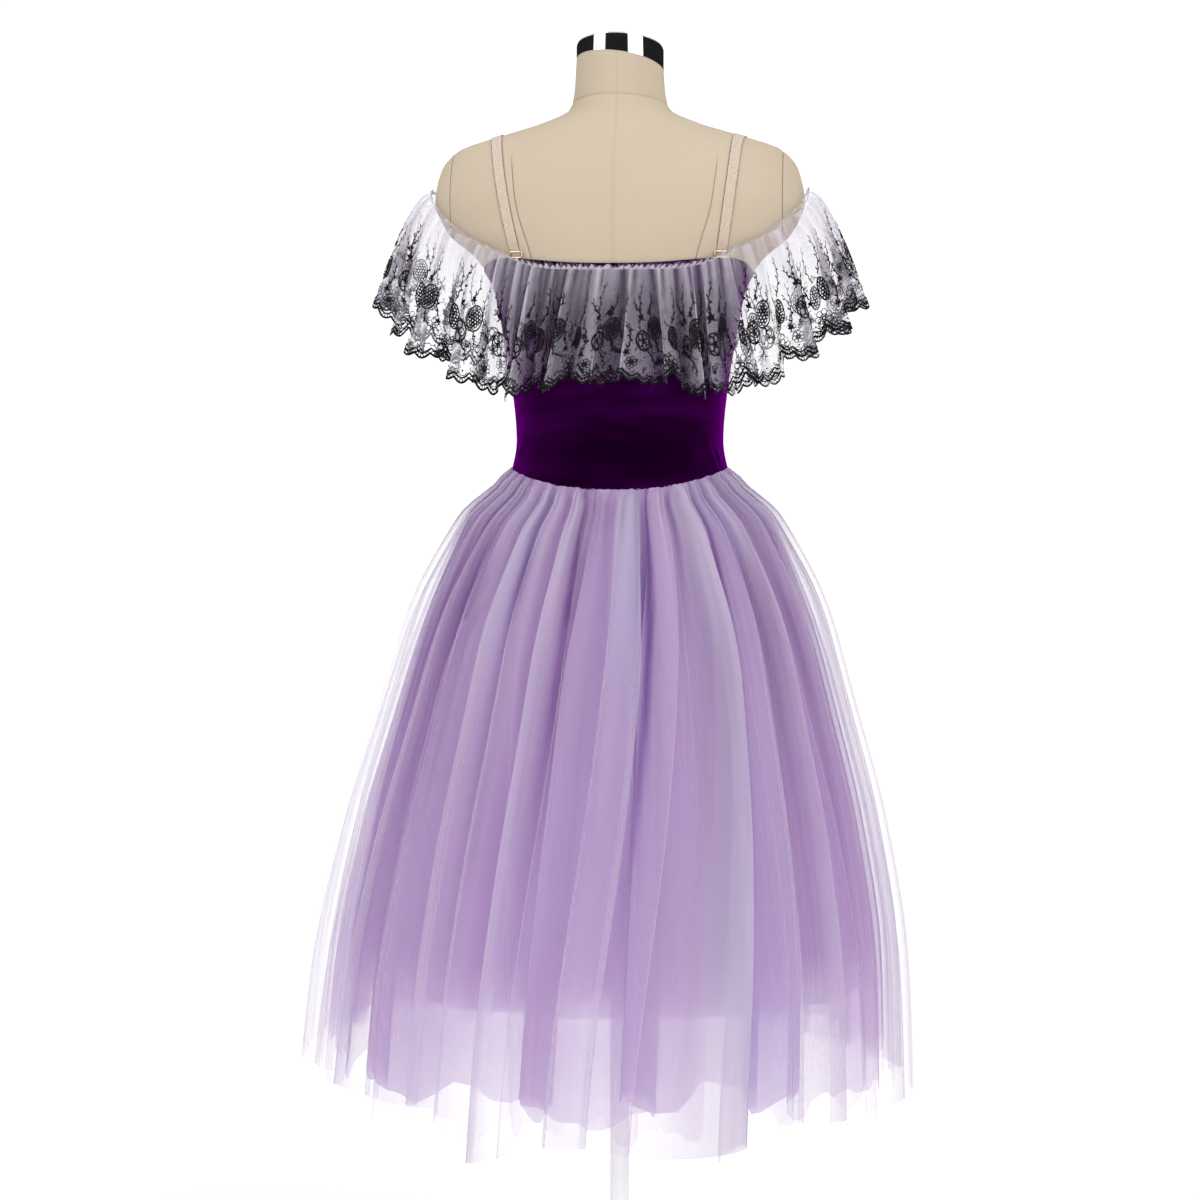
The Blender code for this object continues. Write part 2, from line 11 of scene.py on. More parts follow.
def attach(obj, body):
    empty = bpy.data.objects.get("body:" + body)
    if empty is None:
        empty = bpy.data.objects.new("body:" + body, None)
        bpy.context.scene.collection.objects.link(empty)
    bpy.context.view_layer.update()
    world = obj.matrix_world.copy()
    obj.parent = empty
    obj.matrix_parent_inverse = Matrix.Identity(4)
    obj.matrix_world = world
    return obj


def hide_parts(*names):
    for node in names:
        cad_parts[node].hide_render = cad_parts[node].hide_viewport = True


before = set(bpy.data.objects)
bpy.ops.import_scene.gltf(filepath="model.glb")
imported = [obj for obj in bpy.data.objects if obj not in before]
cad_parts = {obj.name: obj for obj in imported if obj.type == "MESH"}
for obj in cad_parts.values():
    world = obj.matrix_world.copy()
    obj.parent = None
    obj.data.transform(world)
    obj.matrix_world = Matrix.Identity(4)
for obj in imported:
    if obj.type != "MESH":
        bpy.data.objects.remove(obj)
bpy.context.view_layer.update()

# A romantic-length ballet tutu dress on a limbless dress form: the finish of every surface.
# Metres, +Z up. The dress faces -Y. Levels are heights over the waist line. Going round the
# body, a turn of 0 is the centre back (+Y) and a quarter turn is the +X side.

WAIST_HEIGHT = 1.030
SEAM_GAP = 0.0003
FULL_TURN = 2 * math.pi
QUARTER_TURN = math.pi / 2
EVEN = (1, 1, 1)
WELD = 1e-6
ROUNDED_ANGLE = math.radians(50)

# ---------------------------------------------------------------- dress form
# The depths back and front run from the pole's axis. A squareness of 2 is an ellipse.
Section = namedtuple("Section", "level half_width back front squareness")
FORM_SECTIONS = (
    Section(-0.262, 0.150, 0.104, 0.092, 2.3),
    Section(-0.200, 0.163, 0.118, 0.098, 2.3),
    Section(-0.120, 0.152, 0.110, 0.098, 2.3),
    Section(-0.050, 0.125, 0.088, 0.088, 2.3),
    Section(0.000, 0.115, 0.078, 0.082, 2.3),
    Section(0.060, 0.120, 0.080, 0.090, 2.4),
    Section(0.120, 0.130, 0.088, 0.100, 2.5),
    Section(0.170, 0.140, 0.095, 0.108, 2.7),
    Section(0.205, 0.162, 0.099, 0.106, 2.9),
    Section(0.232, 0.193, 0.101, 0.100, 3.0),
    Section(0.268, 0.208, 0.100, 0.090, 3.0),
    Section(0.302, 0.2015, 0.091, 0.077, 2.9),
    Section(0.3245, 0.183, 0.081, 0.067, 2.7),
    Section(0.343, 0.130, 0.068, 0.060, 2.5),
    Section(0.355, 0.091, 0.059, 0.056, 2.2),
    Section(0.3725, 0.0555, 0.0535, 0.0535, 2.0),
    Section(0.392, 0.0510, 0.0510, 0.0510, 2.0),
    Section(0.4205, 0.0490, 0.0490, 0.0490, 2.0),
)
HIP_LEVEL = -0.262
HIP_EDGE_ROUND = 0.012
BUST_APART = 0.070
BUST_LEVEL = 0.150
BUST_SPREAD = 0.048
BUST_PROUD = 0.016
NECK_TILT_START = 0.372
NECK_TOP = 0.4205
NECK_TILT = math.radians(14.0)
NECK_ROLL = math.radians(7.0)
ARM_CAP_PLANE = 0.1845
ARM_CAP_ROUND = 0.0012
Princess = namedtuple("Princess", "level x")
PRINCESS_SEAM = (
    Princess(-0.262, 0.086), Princess(-0.120, 0.080), Princess(0.000, 0.058),
    Princess(0.120, 0.074), Princess(0.205, 0.092), Princess(0.262, 0.108),
    Princess(0.330, 0.116),
)
PRINCESS_END = 0.330
PRINCESS_FADE = 0.03
SEAM_HALF_WIDTH = 0.0011
SEAM_DEPTH = 0.0007
PANELS = 8
COLUMNS_A_PANEL = 17
NECK_SEAM = 0.3765
NECK_SEAM_TILT = 0.12
NECK_SEAM_REACH = 0.020
NECK_SEAM_HALF_WIDTH = 0.0020
CENTRE_SEAM_DARK = 0.40
NECK_SEAM_DARK = 0.55
SIDE_SEAM_DARK = 0.90
FORM_ROW_HEIGHT = 0.0052
LINEN_THREADS = 1500

CAP_RADIUS = 0.0490
CAP_TOP = 0.4415
CAP_EDGE = 0.0030
CAP_TILT = math.radians(15.4)
CAP_ROLL = math.radians(1.6)
CAP_COLUMNS = 144
CAP_EDGE_STEPS = 6
CAP_CREASE = math.radians(40)

# --------------------------------------------------------------------- stand
POLE_RADIUS = 0.011
BASE_RADIUS = 0.175
BASE_EDGE = 0.005
BASE_RISE = 0.009
BASE_RIM = 0.012
BASE_EDGE_ROUND = 0.0012
HUB_RADIUS = 0.021
HUB_TOP = 0.058
HUB_FLARE = 0.008
HUB_FLARE_FOOT = 0.003
HUB_FLARE_TOP = 0.010
SOCKET_FLOOR = 0.012
POLE_EDGE_ROUND = 0.0006
STAND_COLUMNS = 96
STAND_CREASE = math.radians(60)

# -------------------------------------------------------------------- bodice
BODICE_CLEAR = 0.0009
VELVET = 0.0015
BODICE_TOP_BACK = 0.196
BODICE_TOP_FRONT = 0.192
BODICE_TOP_UNDERARM = 0.189
BODICE_STRAP_RISE = 0.007
SEAM_SIDE = -0.032
SEAM_DIP = 0.022
BODICE_COLUMNS = 110
BODICE_ROWS = 84
VELVET_EDGE_ROUND = 0.0006
VELVET_CUT = (0.40, 0.245)
VELVET_BLOOM = (0.40, 0.0, 0.58, 1.0)
# Painted shade: the bloom fades above this height over the floor, in place of the shade that the lace
# casts on the velvet.
VELVET_LACE_SHADE_FROM = 1.085
VELVET_LACE_SHADE_FADE = 0.045
VELVET_LACE_SHADE_SHEEN = 0.40
CREASE_RADIUS = 0.105
# A crease is centred at its turn in degrees and its level, and angle is its slope in degrees.
Crease = namedtuple("Crease", "turn level angle length width height")
VELVET_CREASES = (
    Crease(-62, -0.018, 62, 0.034, 0.0035, 0.0022),
    Crease(-71, -0.020, 70, 0.028, 0.0030, 0.0018),
    Crease(-55, 0.010, 35, 0.030, 0.0050, 0.0014),
    Crease(-40, 0.034, 28, 0.044, 0.0080, 0.0016),
    Crease(-10, 0.046, 2, 0.080, 0.0075, 0.0009),
    Crease(30, 0.050, -4, 0.070, 0.0085, 0.0010),
    Crease(66, -0.010, -64, 0.030, 0.0040, 0.0016),
    Crease(74, 0.022, -48, 0.026, 0.0050, 0.0012),
    Crease(118, -0.012, 58, 0.032, 0.0040, 0.0018),
    Crease(132, 0.016, 30, 0.038, 0.0060, 0.0013),
    Crease(168, 0.030, -3, 0.070, 0.0080, 0.0010),
    Crease(222, 0.008, -34, 0.036, 0.0055, 0.0014),
    Crease(238, -0.016, -62, 0.030, 0.0038, 0.0019),
    Crease(250, 0.004, -50, 0.024, 0.0042, 0.0012),
)

# --------------------------------------------------------------------- skirt
DEEPEST_FOLD = 1.16
SKIRT_LEAN = 0.017
SKIRT_LENGTH = 0.710
# The bell at each drop below the seam: its half width, its depth as a share of that, half the room
# that its folds have, and the gap between its layers.
Flare = namedtuple("Flare", "drop half_width depth_share fold_depth layer_gap")
SKIRT_FLARE = (
    Flare(0.000, 0.1300, 0.75, 0.0000, 0.0026),
    Flare(0.036, 0.1690, 0.79, 0.0028, 0.0036),
    Flare(0.100, 0.2075, 0.84, 0.0055, 0.0055),
    Flare(0.180, 0.2445, 0.88, 0.0078, 0.0070),
    Flare(0.280, 0.2785, 0.905, 0.0098, 0.0078),
    Flare(0.400, 0.3135, 0.92, 0.0112, 0.0082),
    Flare(0.550, 0.3425, 0.93, 0.0124, 0.0085),
    Flare(0.730, 0.3565, 0.94, 0.0140, 0.0088),
)
SEAM_EDGE = 0.0095
LINING_TUCK = 0.0015
SEAM_TUCK_DROP = 0.007
# A fold starts at the turn top at the seam and hem at the edge, and ends where the next one starts.
# box folds both of its sides under, and knife folds one side: above 0, the side of greater turn.
# veil is how dense its net looks beside the others'.
Fold = namedtuple("Fold", "top hem depth box knife length veil")
SKIRT_FOLDS = (
    Fold(-90, -88, 0.70, 0.20, -1.40, 0.004, 0.8), Fold(-77, -77, 0.95, 0.15, -2.00, -0.003, 1.1),
    Fold(-66, -64, 0.75, 0.20, -1.50, 0.006, 0.6), Fold(-55, -53, 1.00, 0.10, -2.30, 0.000, 1.0),
    Fold(-45, -44, 0.55, 0.20, -0.70, 0.005, 0.6), Fold(-38, -31, 1.12, 0.05, -2.20, -0.004, 1.5),
    Fold(-24, -11, 0.50, 0.10, -0.50, 0.002, 0.6), Fold(-14, -3, 1.10, 0.90, -0.30, -0.002, 0.9),
    Fold(1, 9, 0.50, 0.15, 0.50, 0.003, 0.6), Fold(11, 16, 1.00, 0.10, 1.80, 0.004, 1.2),
    Fold(19, 21, 0.60, 0.15, 0.70, 0.006, 0.7), Fold(28, 29, 1.08, 0.10, 2.40, -0.003, 1.2),
    Fold(35, 34, 0.60, 0.20, 0.70, 0.002, 0.6), Fold(45, 47, 1.05, 0.10, 2.20, 0.006, 1.0),
    Fold(52, 55, 0.60, 0.20, 0.70, -0.002, 0.7), Fold(61, 67, 1.00, 0.10, 2.10, 0.003, 1.0),
    Fold(71, 77, 0.80, 0.20, 1.40, 0.000, 0.7), Fold(84, 90, 0.65, 0.25, 0.80, 0.004, 0.9),
    Fold(98, 101, 1.00, 0.10, -1.60, -0.003, 0.7), Fold(108, 110, 0.75, 0.15, -2.10, 0.005, 1.2),
    Fold(120, 119, 0.55, 0.20, -0.70, 0.001, 0.6), Fold(128, 131, 1.10, 0.10, -2.40, -0.004, 1.3),
    Fold(141, 144, 0.50, 0.15, -0.70, 0.004, 0.6), Fold(149, 150, 0.95, 0.15, -1.80, 0.006, 1.0),
    Fold(159, 165, 1.05, 0.10, -2.10, -0.002, 0.8), Fold(175, 180, 0.85, 0.90, 0.10, 0.002, 1.2),
    Fold(191, 191, 0.50, 0.15, 0.70, 0.005, 0.6), Fold(199, 202, 1.10, 0.10, 2.30, -0.003, 1.3),
    Fold(212, 210, 0.60, 0.20, 0.70, 0.003, 0.6), Fold(221, 224, 1.00, 0.10, 2.10, 0.006, 1.1),
    Fold(233, 234, 0.55, 0.20, 0.70, -0.002, 0.6), Fold(243, 245, 1.05, 0.10, 2.20, 0.002, 1.3),
    Fold(256, 256, 0.80, 0.20, 1.20, 0.005, 0.7),
)
# The outermost net is cut longest across the back, with a pointed corner at each end of that panel.
Edge = namedtuple("Edge", "turn level")
OUTER_HEM = (
    Edge(-180, -0.716), Edge(-130, -0.729), Edge(-90, -0.737), Edge(-62, -0.733),
    Edge(-48, -0.728), Edge(-32, -0.713), Edge(-30.6, -0.752), Edge(-26, -0.738),
    Edge(-16, -0.751), Edge(-3, -0.735), Edge(9, -0.739), Edge(20.8, -0.753),
    Edge(22.2, -0.722), Edge(32, -0.707), Edge(45, -0.701), Edge(57, -0.693),
    Edge(90, -0.698), Edge(130, -0.703), Edge(180, -0.716),
)
# share is the part of the fold room that a layer takes, and start where its part begins. A layer's
# folds are the table's, from the row first and every so many rows, turned round by some degrees
# and mirrored where mirror is -1. The cut's width and length are those of its cloth laid flat.
# valley and crest set the net's density in its valleys and on its crests: painted shade and light.
Layer = namedtuple("Layer", "name node start share first every turned mirror hem lift ragged gather "
                   "tuck cover valley crest cut_width cut_length")
TULLE_LAYERS = (
    Layer("tulle_outer", "skirt_outer_tulle", 0.0, 0.45, 0, 1, 0, 1,
          0.000, 0.000, 1.0, 0.0013, 0.0059, 0.165, 0.6, 1.5, 3.6, 0.72),
    Layer("tulle_middle", "skirt_middle_tulle", 0.58, 0.28, 0, 2, 8, -1,
          -0.710, 0.008, 2.6, 0.0002, 0.0037, 0.36, 0.4, 1.0, 2.8, 0.68),
    Layer("tulle_under", "skirt_middle_tulle", 0.82, 0.20, 1, 2, 131, 1,
          -0.694, 0.006, 2.2, 0.0002, 0.0039, 0.46, 0.7, 0.6, 3.0, 0.66),
)
COLUMNS_A_FOLD = 26
TULLE_ROWS = 72
# Colours along the streaks of each tulle: the place and the colour.
WHITE_LILAC = ((0.38, (0.55, 0.45, 0.61)), (0.50, (0.63, 0.55, 0.68)), (0.62, (0.59, 0.56, 0.70)))
LILAC = ((0.38, (0.53, 0.37, 0.64)), (0.50, (0.62, 0.46, 0.71)), (0.62, (0.57, 0.47, 0.74)))
DEEP_LILAC = ((0.38, (0.39, 0.23, 0.495)), (0.50, (0.47, 0.29, 0.585)), (0.62, (0.49, 0.33, 0.625)))
OUTER_EDGE_CROWDING = 2.2
MIDDLE_EDGE_CROWDING = 1.8
LINING_EDGE_CROWDING = 0.0
TULLE_EDGE_SHARPNESS = 9.0
TULLE_LIT_THROUGH = 0.42
GATHER_SHADE = 0.55
GATHER_REACH = 0.055
PLEAT_DEPTH = 0.0005
SEAM_JAG = 0.0011
HEM_WANDER = 0.0065
SKIRT_PUFF = 0.0065
PUFF_DROP = 0.13
PUFF_REACH = 0.075
# Painted shade: in the folds' valleys near the waist, and along the creases on the inner cloth.
WAIST_SHADE = 0.78
SHADE_DEPTH = 2.2
SIDE_THINNER = 0.66
VEIL_CONTRAST = 1.4
HEM_THINNER = 0.36
CREASE_SHADE = 0.95
CREASE_WIDTH = 0.011
UPPER_COVER = 0.92
HEM_COVER = 0.53
LINING_FOLDS = 16
LINING_SHIFT = 1.9
UNEVEN_BROAD = 0.045
UNEVEN_CLOSE = 0.032
LINING_HEM = -0.608
LINING_LIFT = 0.004
LINING_FOLD_DEPTH = 0.0055
LINING_CLEAR = 0.0045
LINING_COVER = 0.985
LINING_SOFT_HEM = 0.11
LINING_THINNER = 0.50
# Painted light: the lining's colour is lightened towards its hem.
LINING_HEM_PAINTED_LIGHT = 0.12
LINING_CUT = (1.80, 0.62)
LINING_COLUMNS = 1080
LINING_ROWS = 50

# -------------------------------------------------------------------- ruffle
LACE = 0.0012
RUFFLE_CLEAR = 0.0004
RUFFLE_TOP_BACK = 0.190
RUFFLE_TOP_FRONT = 0.186
RUFFLE_TOP_SHOULDER = 0.279
RUFFLE_DROP = 0.127
RUFFLE_CORNER_DROP = 0.022
RUFFLE_FLARE = 0.034
RUFFLE_FLARE_SIDE = 0.020
RUFFLE_WAVE_DEPTH = 0.0135
RUFFLE_POINT = 0.0085
RUFFLE_RAGGED = 0.8
RUFFLE_GATHER_DEPTH = 0.0008
RUFFLE_FOLDS = (
    Fold(-90, -90, 0.90, 0.20, -0.80, 0.004, 0.9), Fold(-80, -81, 0.70, 0.20, -0.60, -0.002, 1.1),
    Fold(-71, -72, 1.08, 0.20, -1.30, 0.003, 0.8), Fold(-61, -62, 0.75, 0.20, -0.70, -0.003, 1.1),
    Fold(-52, -53, 0.95, 0.20, 0.90, 0.002, 0.8), Fold(-44, -45, 0.80, 0.15, -0.90, 0.005, 1.0),
    Fold(-37, -37, 0.85, 0.20, 1.50, 0.000, 1.2), Fold(-28, -29, 1.15, 0.55, -1.20, 0.003, 1.0),
    Fold(-19, -22, 0.65, 0.20, 0.80, -0.002, 1.2), Fold(-9, -12, 1.12, 0.25, 1.60, -0.001, 1.0),
    Fold(-1, 1, 0.55, 0.20, -1.00, 0.003, 1.3), Fold(5, 11, 0.95, 0.25, 1.70, 0.004, 0.7),
    Fold(14, 19, 0.75, 0.20, -0.80, 0.002, 0.5), Fold(21, 25, 1.10, 0.35, 1.80, 0.005, 1.0),
    Fold(29, 31, 0.80, 0.20, -1.10, 0.000, 1.2), Fold(36, 37, 1.02, 0.30, 1.20, 0.006, 1.0),
    Fold(43, 43, 0.75, 0.20, 1.00, 0.002, 1.1), Fold(51, 51, 1.06, 0.20, 1.30, -0.002, 0.8),
    Fold(61, 62, 0.75, 0.20, -0.60, 0.005, 1.1), Fold(70, 71, 1.00, 0.20, 1.20, -0.001, 0.8),
    Fold(80, 80, 0.85, 0.20, 0.80, 0.002, 1.0),
)
RUFFLE_COLUMNS = 1344
RUFFLE_ROWS = 44
LACE_LENGTH = 0.140
LACE_MEASURED_AT = 0.72
LACE_MEASURES = 12000
NET_COVER = 0.150
# The net's density in valleys and on crests paints shade and light there; NET_SHADE is painted shade in
# deep valleys.
NET_VALLEY = 0.62
NET_CREST = 0.60
NET_SHADE = 0.75
NET_EDGE_SHARPNESS = 26.0
NET_EDGE_CROWDING = 4.0
NET_LIT_THROUGH = 0.35
WORKED_NET = 0.70
GROUND_CELLS = 520
GROUND_FROM_TO = (0.050, 0.092)
LACE_REPEAT = 0.088
SCALLOP_BIG = 0.0140
SCALLOP_SMALL = 0.0052
SMALL_SCALLOPS = 6
THREAD_LIFT = 0.0010
THREAD_FINE = 0.00080
THREAD_BOLD = 0.00165
STEM_SWAY = 0.0008
LEAF_SPREAD = math.radians(48)
BORDER_STEPS = 96
BORDER_CORDS = ((0.0010, 0.0022), (0.0060, 0.0017))
RING_PITCH = 0.0049
RING_RADIUS = 0.0016
RING_INSET = 0.0032
INNER_ARC = 0.0125
INNER_ARC_HEIGHT = 0.0042
INNER_DOT = 0.0010
INNER_DOT_RISE = 0.0010
FRUIT_PITCH = 0.0037
FRUIT_RING = 0.00155
FRUIT_THREAD = 0.0012
FRUIT_LOOPS = 5
FRUIT_HEART = 0.0011
FLOWER_PETALS = 7
# Each table's share is of one repeat of the lace, and down is measured from its top edge.
Fruit = namedtuple("Fruit", "share down half_width half_height tilt packed")
FRUITS = (
    Fruit(0.36, 0.072, 0.0100, 0.0134, -14, True), Fruit(0.57, 0.088, 0.0100, 0.0120, 16, False),
    Fruit(0.94, 0.082, 0.0062, 0.0128, 4, True),
)
Bud = namedtuple("Bud", "share down length lean")
BUDS = (
    Bud(0.60, 0.062, 0.0082, 8), Bud(0.43, 0.055, 0.0058, -30), Bud(0.16, 0.094, 0.0056, -12),
    Bud(0.80, 0.104, 0.0060, 24),
)
Flower = namedtuple("Flower", "share down radius")
FLOWERS = (Flower(0.02, 0.112, 0.0100), Flower(0.74, 0.114, 0.0066))
Stem = namedtuple("Stem", "share down tip_share tip_down bend leaves leaf_length")
STEMS = (
    Stem(0.60, 0.056, 0.52, 0.018, 0.12, 5, 0.0056), Stem(0.43, 0.052, 0.36, 0.028, -0.14, 3, 0.0048),
    Stem(0.62, 0.054, 0.74, 0.036, 0.16, 3, 0.0046), Stem(0.95, 0.066, 0.90, 0.024, -0.10, 5, 0.0048),
    Stem(0.16, 0.088, 0.20, 0.046, 0.12, 5, 0.0050), Stem(0.36, 0.086, 0.16, 0.100, -0.28, 4, 0.0042),
    Stem(0.80, 0.100, 0.86, 0.066, -0.16, 5, 0.0048), Stem(0.50, 0.101, 0.42, 0.120, 0.18, 3, 0.0040),
)
GROUND_SEED = 11
GROUND_THREADS = 9
GROUND_THREAD_LENGTH = (0.008, 0.016)
GROUND_THREAD_SWAY = (0.0006, 0.0016)
GROUND_THREAD_EDGE = 0.012
GROUND_THREAD_REACH = 0.060
GROUND_THREAD_CLEAR = 0.009
GROUND_SPECKS = 45
GROUND_SPECK_RADIUS = (0.00035, 0.0008)
GROUND_SPECK_EDGE = 0.011
GROUND_SPECK_REACH = 0.075
HEADING_LIFT = -0.0012
HEADING_HEIGHT = 0.0036
HEADING_COLUMNS = 1320
HEADING_ROWS = 5
HEADING_GATHERS = 131
HEADING_DEPTH = 0.0011
HEADING_JAG = 0.0014
HEADING_JAG_FINE = 0.0009
HEADING_CUT = 1.25
HEADING_SHOWN = 0.0042
HEADING_COVER = 0.80
HEADING_LOOPS = 173
FRAY_SEED = 5
FRAY_THREADS = 900
FRAY_FOOT = 0.55
FRAY_LENGTH = (0.0022, 0.0062)
FRAY_WIDTH = (0.00018, 0.00032)
FRAY_LEAN = (-0.0016, 0.0016)
FRAY_STAND = (0.0002, 0.0022)
FRAY_STEPS = 3

# -------------------------------------------------------------------- straps
STRAP_WIDTH = 0.012
STRAP_LENGTH = 0.42
STRAP_CLOTH = 0.00096
STRAP_CLEAR = 0.0013
STRAP_EDGE_THINNER = 0.0002
STRAP_EDGE_ROUND = 0.0002
STRAP_PRESSED = 0.65
STRAP_RELEASE = 0.05
# How far each strap lies from the centre line at its back end, on the shoulder and in front.
Strap = namedtuple("Strap", "label side back_x shoulder_x front_x")
STRAPS = (
    Strap("left", 1, 0.108, 0.137, 0.104),
    Strap("right", -1, 0.118, 0.137, 0.104),
)
STRAP_FOOT_TURN = math.radians(36)
STRAP_ROWS = 150
STRAP_COLUMNS = 10
STRAP_CENTRE = 0.200
STRAP_REACH = 0.25
SLIDER_WIDTH = 0.0145
SLIDER_HEIGHT = 0.0065
SLIDER_CORNER = 0.0020
SLIDER_WIRE = 0.0009
SLIDER_CORNER_POINTS = 7

# ------------------------------------------------------ floor, light, camera
FLOOR_RADIUS = 14.0
FLOOR_DROP = 0.0005
FLOOR_GLOW = 0.06
# Each soft box's direction and half its width, in degrees round the room. Heights in the room
# are sines of the angle over eye level.
SOFT_BOXES = ((53.0, 16.0), (-47.0, 20.0))
SOFT_BOX_EDGE = 3.0
SOFT_BOX_FOOT = -0.10
SOFT_BOX_HEAD = 0.80
SOFT_BOX_FADE = 0.05
SOFT_BOX_STRENGTH = 3.12
OVERHEAD_FROM_TO = (0.22, 0.60)
OVERHEAD_STRENGTH = 1.00
WALL_STRENGTH = 0.016
WALL_SEEN = 1.12
CAMERA_PLACE = (-0.27298, 3.38079, 1.08501)
CAMERA_TARGET = (0.02263, 0.00198, 0.84784)
CAMERA_LENS = 89.47
CAMERA_SENSOR = 36.0
CLEAR_BOUNCES = 48


# ------------------------------------------------------- the body's own form
def curve_through(keys, values, at):
    """A smooth curve through the values, without overshoot, read at one or more keys."""
    keys = np.asarray(keys, float)
    values = np.asarray(values, float)
    slopes = np.diff(values) / np.diff(keys)
    before, after = slopes[:-1], slopes[1:]
    turning = before * after <= 0
    total = np.where(turning, 1.0, before + after)
    middle = np.where(turning, 0.0, 2 * before * after / total)
    tangents = np.concatenate((slopes[:1], middle, slopes[-1:]))
    at = np.clip(np.asarray(at, float), keys[0], keys[-1])
    left = np.clip(np.searchsorted(keys, at) - 1, 0, len(slopes) - 1)
    width = keys[left + 1] - keys[left]
    share = (at - keys[left]) / width
    ease = share * share * (3 - 2 * share)
    bend_in = share * (1 - share) ** 2 * width
    bend_out = share * share * (share - 1) * width
    return (values[left] * (1 - ease) + values[left + 1] * ease
            + tangents[left] * bend_in + tangents[left + 1] * bend_out)


def column(rows, name):
    return [getattr(row, name) for row in rows]


def read_section(name, level):
    return curve_through(column(FORM_SECTIONS, "level"), column(FORM_SECTIONS, name), level)


def read_flare(name, drop):
    return curve_through(column(SKIRT_FLARE, "drop"), column(SKIRT_FLARE, name), drop)


def bust_proud(x, level):
    """How far each of the two plain bust mounds stands out of the front."""
    across = (np.abs(x) - BUST_APART) / BUST_SPREAD
    along = (level - BUST_LEVEL) / BUST_SPREAD
    return BUST_PROUD * np.exp(-across * across - along * along)


def form_ring(turn, level, away=0.0):
    """Point and outward direction, in plan, on the form's surface moved out by away."""
    half_width = read_section("half_width", level)
    square = read_section("squareness", level)
    sine, cosine = np.sin(turn), np.cos(turn)
    x = half_width * np.sign(sine) * np.abs(sine) ** (2 / square)
    front = read_section("front", level) + bust_proud(x, level)
    depth = np.where(cosine > 0, read_section("back", level), front)
    y = depth * np.sign(cosine) * np.abs(cosine) ** (2 / square)
    lean_x = np.sign(x) * (np.abs(x) / half_width) ** (square - 1) / half_width
    lean_y = np.sign(y) * (np.abs(y) / depth) ** (square - 1) / depth
    length = np.hypot(lean_x, lean_y)
    out_x, out_y = lean_x / length, lean_y / length
    return x + away * out_x, y + away * out_y, out_x, out_y


def neck_plane(x, y, level):
    """The lift of a neck ring whose plane tips forward, and a little to one side."""
    share = np.clip((level - NECK_TILT_START) / (NECK_TOP - NECK_TILT_START), 0, 1)
    return share * (y * math.tan(NECK_TILT) + x * math.tan(NECK_ROLL))


def seam_level(turn):
    """The waist seam: high at the sides, and dipped at the centre back and front."""
    return SEAM_SIDE - SEAM_DIP * np.cos(turn) ** 2


def around_folds(folds, name, place):
    """A column of a fold table, read smoothly at places counted in folds round the ring."""
    rows = np.arange(-3, len(folds) + 4)
    values = np.array(column(folds, name))[rows % len(folds)]
    if name in ("top", "hem"):
        values = np.radians(values + 360.0 * (rows // len(folds)))
    return curve_through(rows, values, place)


def fold_length(folds, place):
    """The extra length of each fold, which changes at a step where one fold is tucked under the next."""
    knife = around_folds(folds, "knife", place - 0.5)
    stepped = place + 0.25 * np.tanh(3 * knife)
    row = np.floor(stepped).astype(int)
    lengths = np.array(column(folds, "length"))
    before, after = lengths[(row - 1) % len(folds)], lengths[row % len(folds)]
    return before + (after - before) * step_up(stepped - row, 0.0, 0.12)


def folded(folds, place, settled, grown):
    """The turn of cloth in its folds, the wave from -1 in a valley to 1 on a crest, and the
    sweep, which is 0 along a fold's edge."""
    def base(at):
        top, hem = around_folds(folds, "top", at), around_folds(folds, "hem", at)
        return top + (hem - top) * settled

    width = (base(place + 0.02) - base(place - 0.02)) / 0.04
    angle = FULL_TURN * place - QUARTER_TURN
    box = around_folds(folds, "box", place - 0.5) * grown
    knife = around_folds(folds, "knife", place - 0.5) * grown
    turn = base(place) + width / FULL_TURN * (knife * np.sin(angle) - box * np.sin(2 * angle))
    sweep = 1 + knife * np.cos(angle) - 2 * box * np.cos(2 * angle)
    return turn, np.sin(angle), sweep


def turned_folds(folds, turned, mirror, span=360):
    """The same folds turned round by some degrees, and mirrored where mirror is -1. The table
    goes round through the span."""
    if mirror > 0:
        moved = [fold._replace(top=fold.top + turned, hem=fold.hem + turned) for fold in folds]
    else:
        after = list(folds[1:]) + [folds[0]._replace(top=folds[0].top + span, hem=folds[0].hem + span)]
        moved = [fold._replace(top=turned - end.top, hem=turned - end.hem, knife=-fold.knife)
                 for fold, end in zip(folds, after)][::-1]
    return moved


def step_up(value, low, high):
    """Rises smoothly from 0 at low to 1 at high."""
    share = np.clip((value - low) / (high - low), 0, 1)
    return share * share * (3 - 2 * share)


# ------------------------------------------------------------- making meshes
def finish(name, mesh, material, nodes=()):
    """Makes the object from a bmesh, on the one body, in place of the given CAD nodes."""
    data = bpy.data.meshes.new(name)
    mesh.to_mesh(data)
    mesh.free()
    return dress(name, data, material, nodes)


def dress(name, data, material, nodes=()):
    data.shade_smooth()
    data.materials.append(material)
    piece = bpy.data.objects.new(name, data)
    bpy.context.scene.collection.objects.link(piece)
    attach(piece, "root")
    if nodes:
        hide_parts(*nodes)
    return piece


def unit_grid(columns, rows):
    """A flat grid of unit size as mesh data, with a UV map of its shares."""
    mesh = bmesh.new()
    mesh.loops.layers.uv.new("cloth")
    bmesh.ops.create_grid(mesh, x_segments=columns, y_segments=rows, size=0.5, calc_uvs=True)
    data = bpy.data.meshes.new("grid")
    mesh.to_mesh(data)
    mesh.free()
    return data


def places_of(data):
    flat = np.empty(len(data.vertices) * 3)
    data.vertices.foreach_get("co", flat)
    return flat.reshape(-1, 3)


def put_places(data, x, y, z):
    data.vertices.foreach_set("co", np.stack((x, y, z), axis=-1).astype(np.float32).ravel())
    data.update()


def put_attribute(data, name, values):
    layer = data.attributes.new(name, "FLOAT", "POINT")
    layer.data.foreach_set("value", np.asarray(values, np.float32))


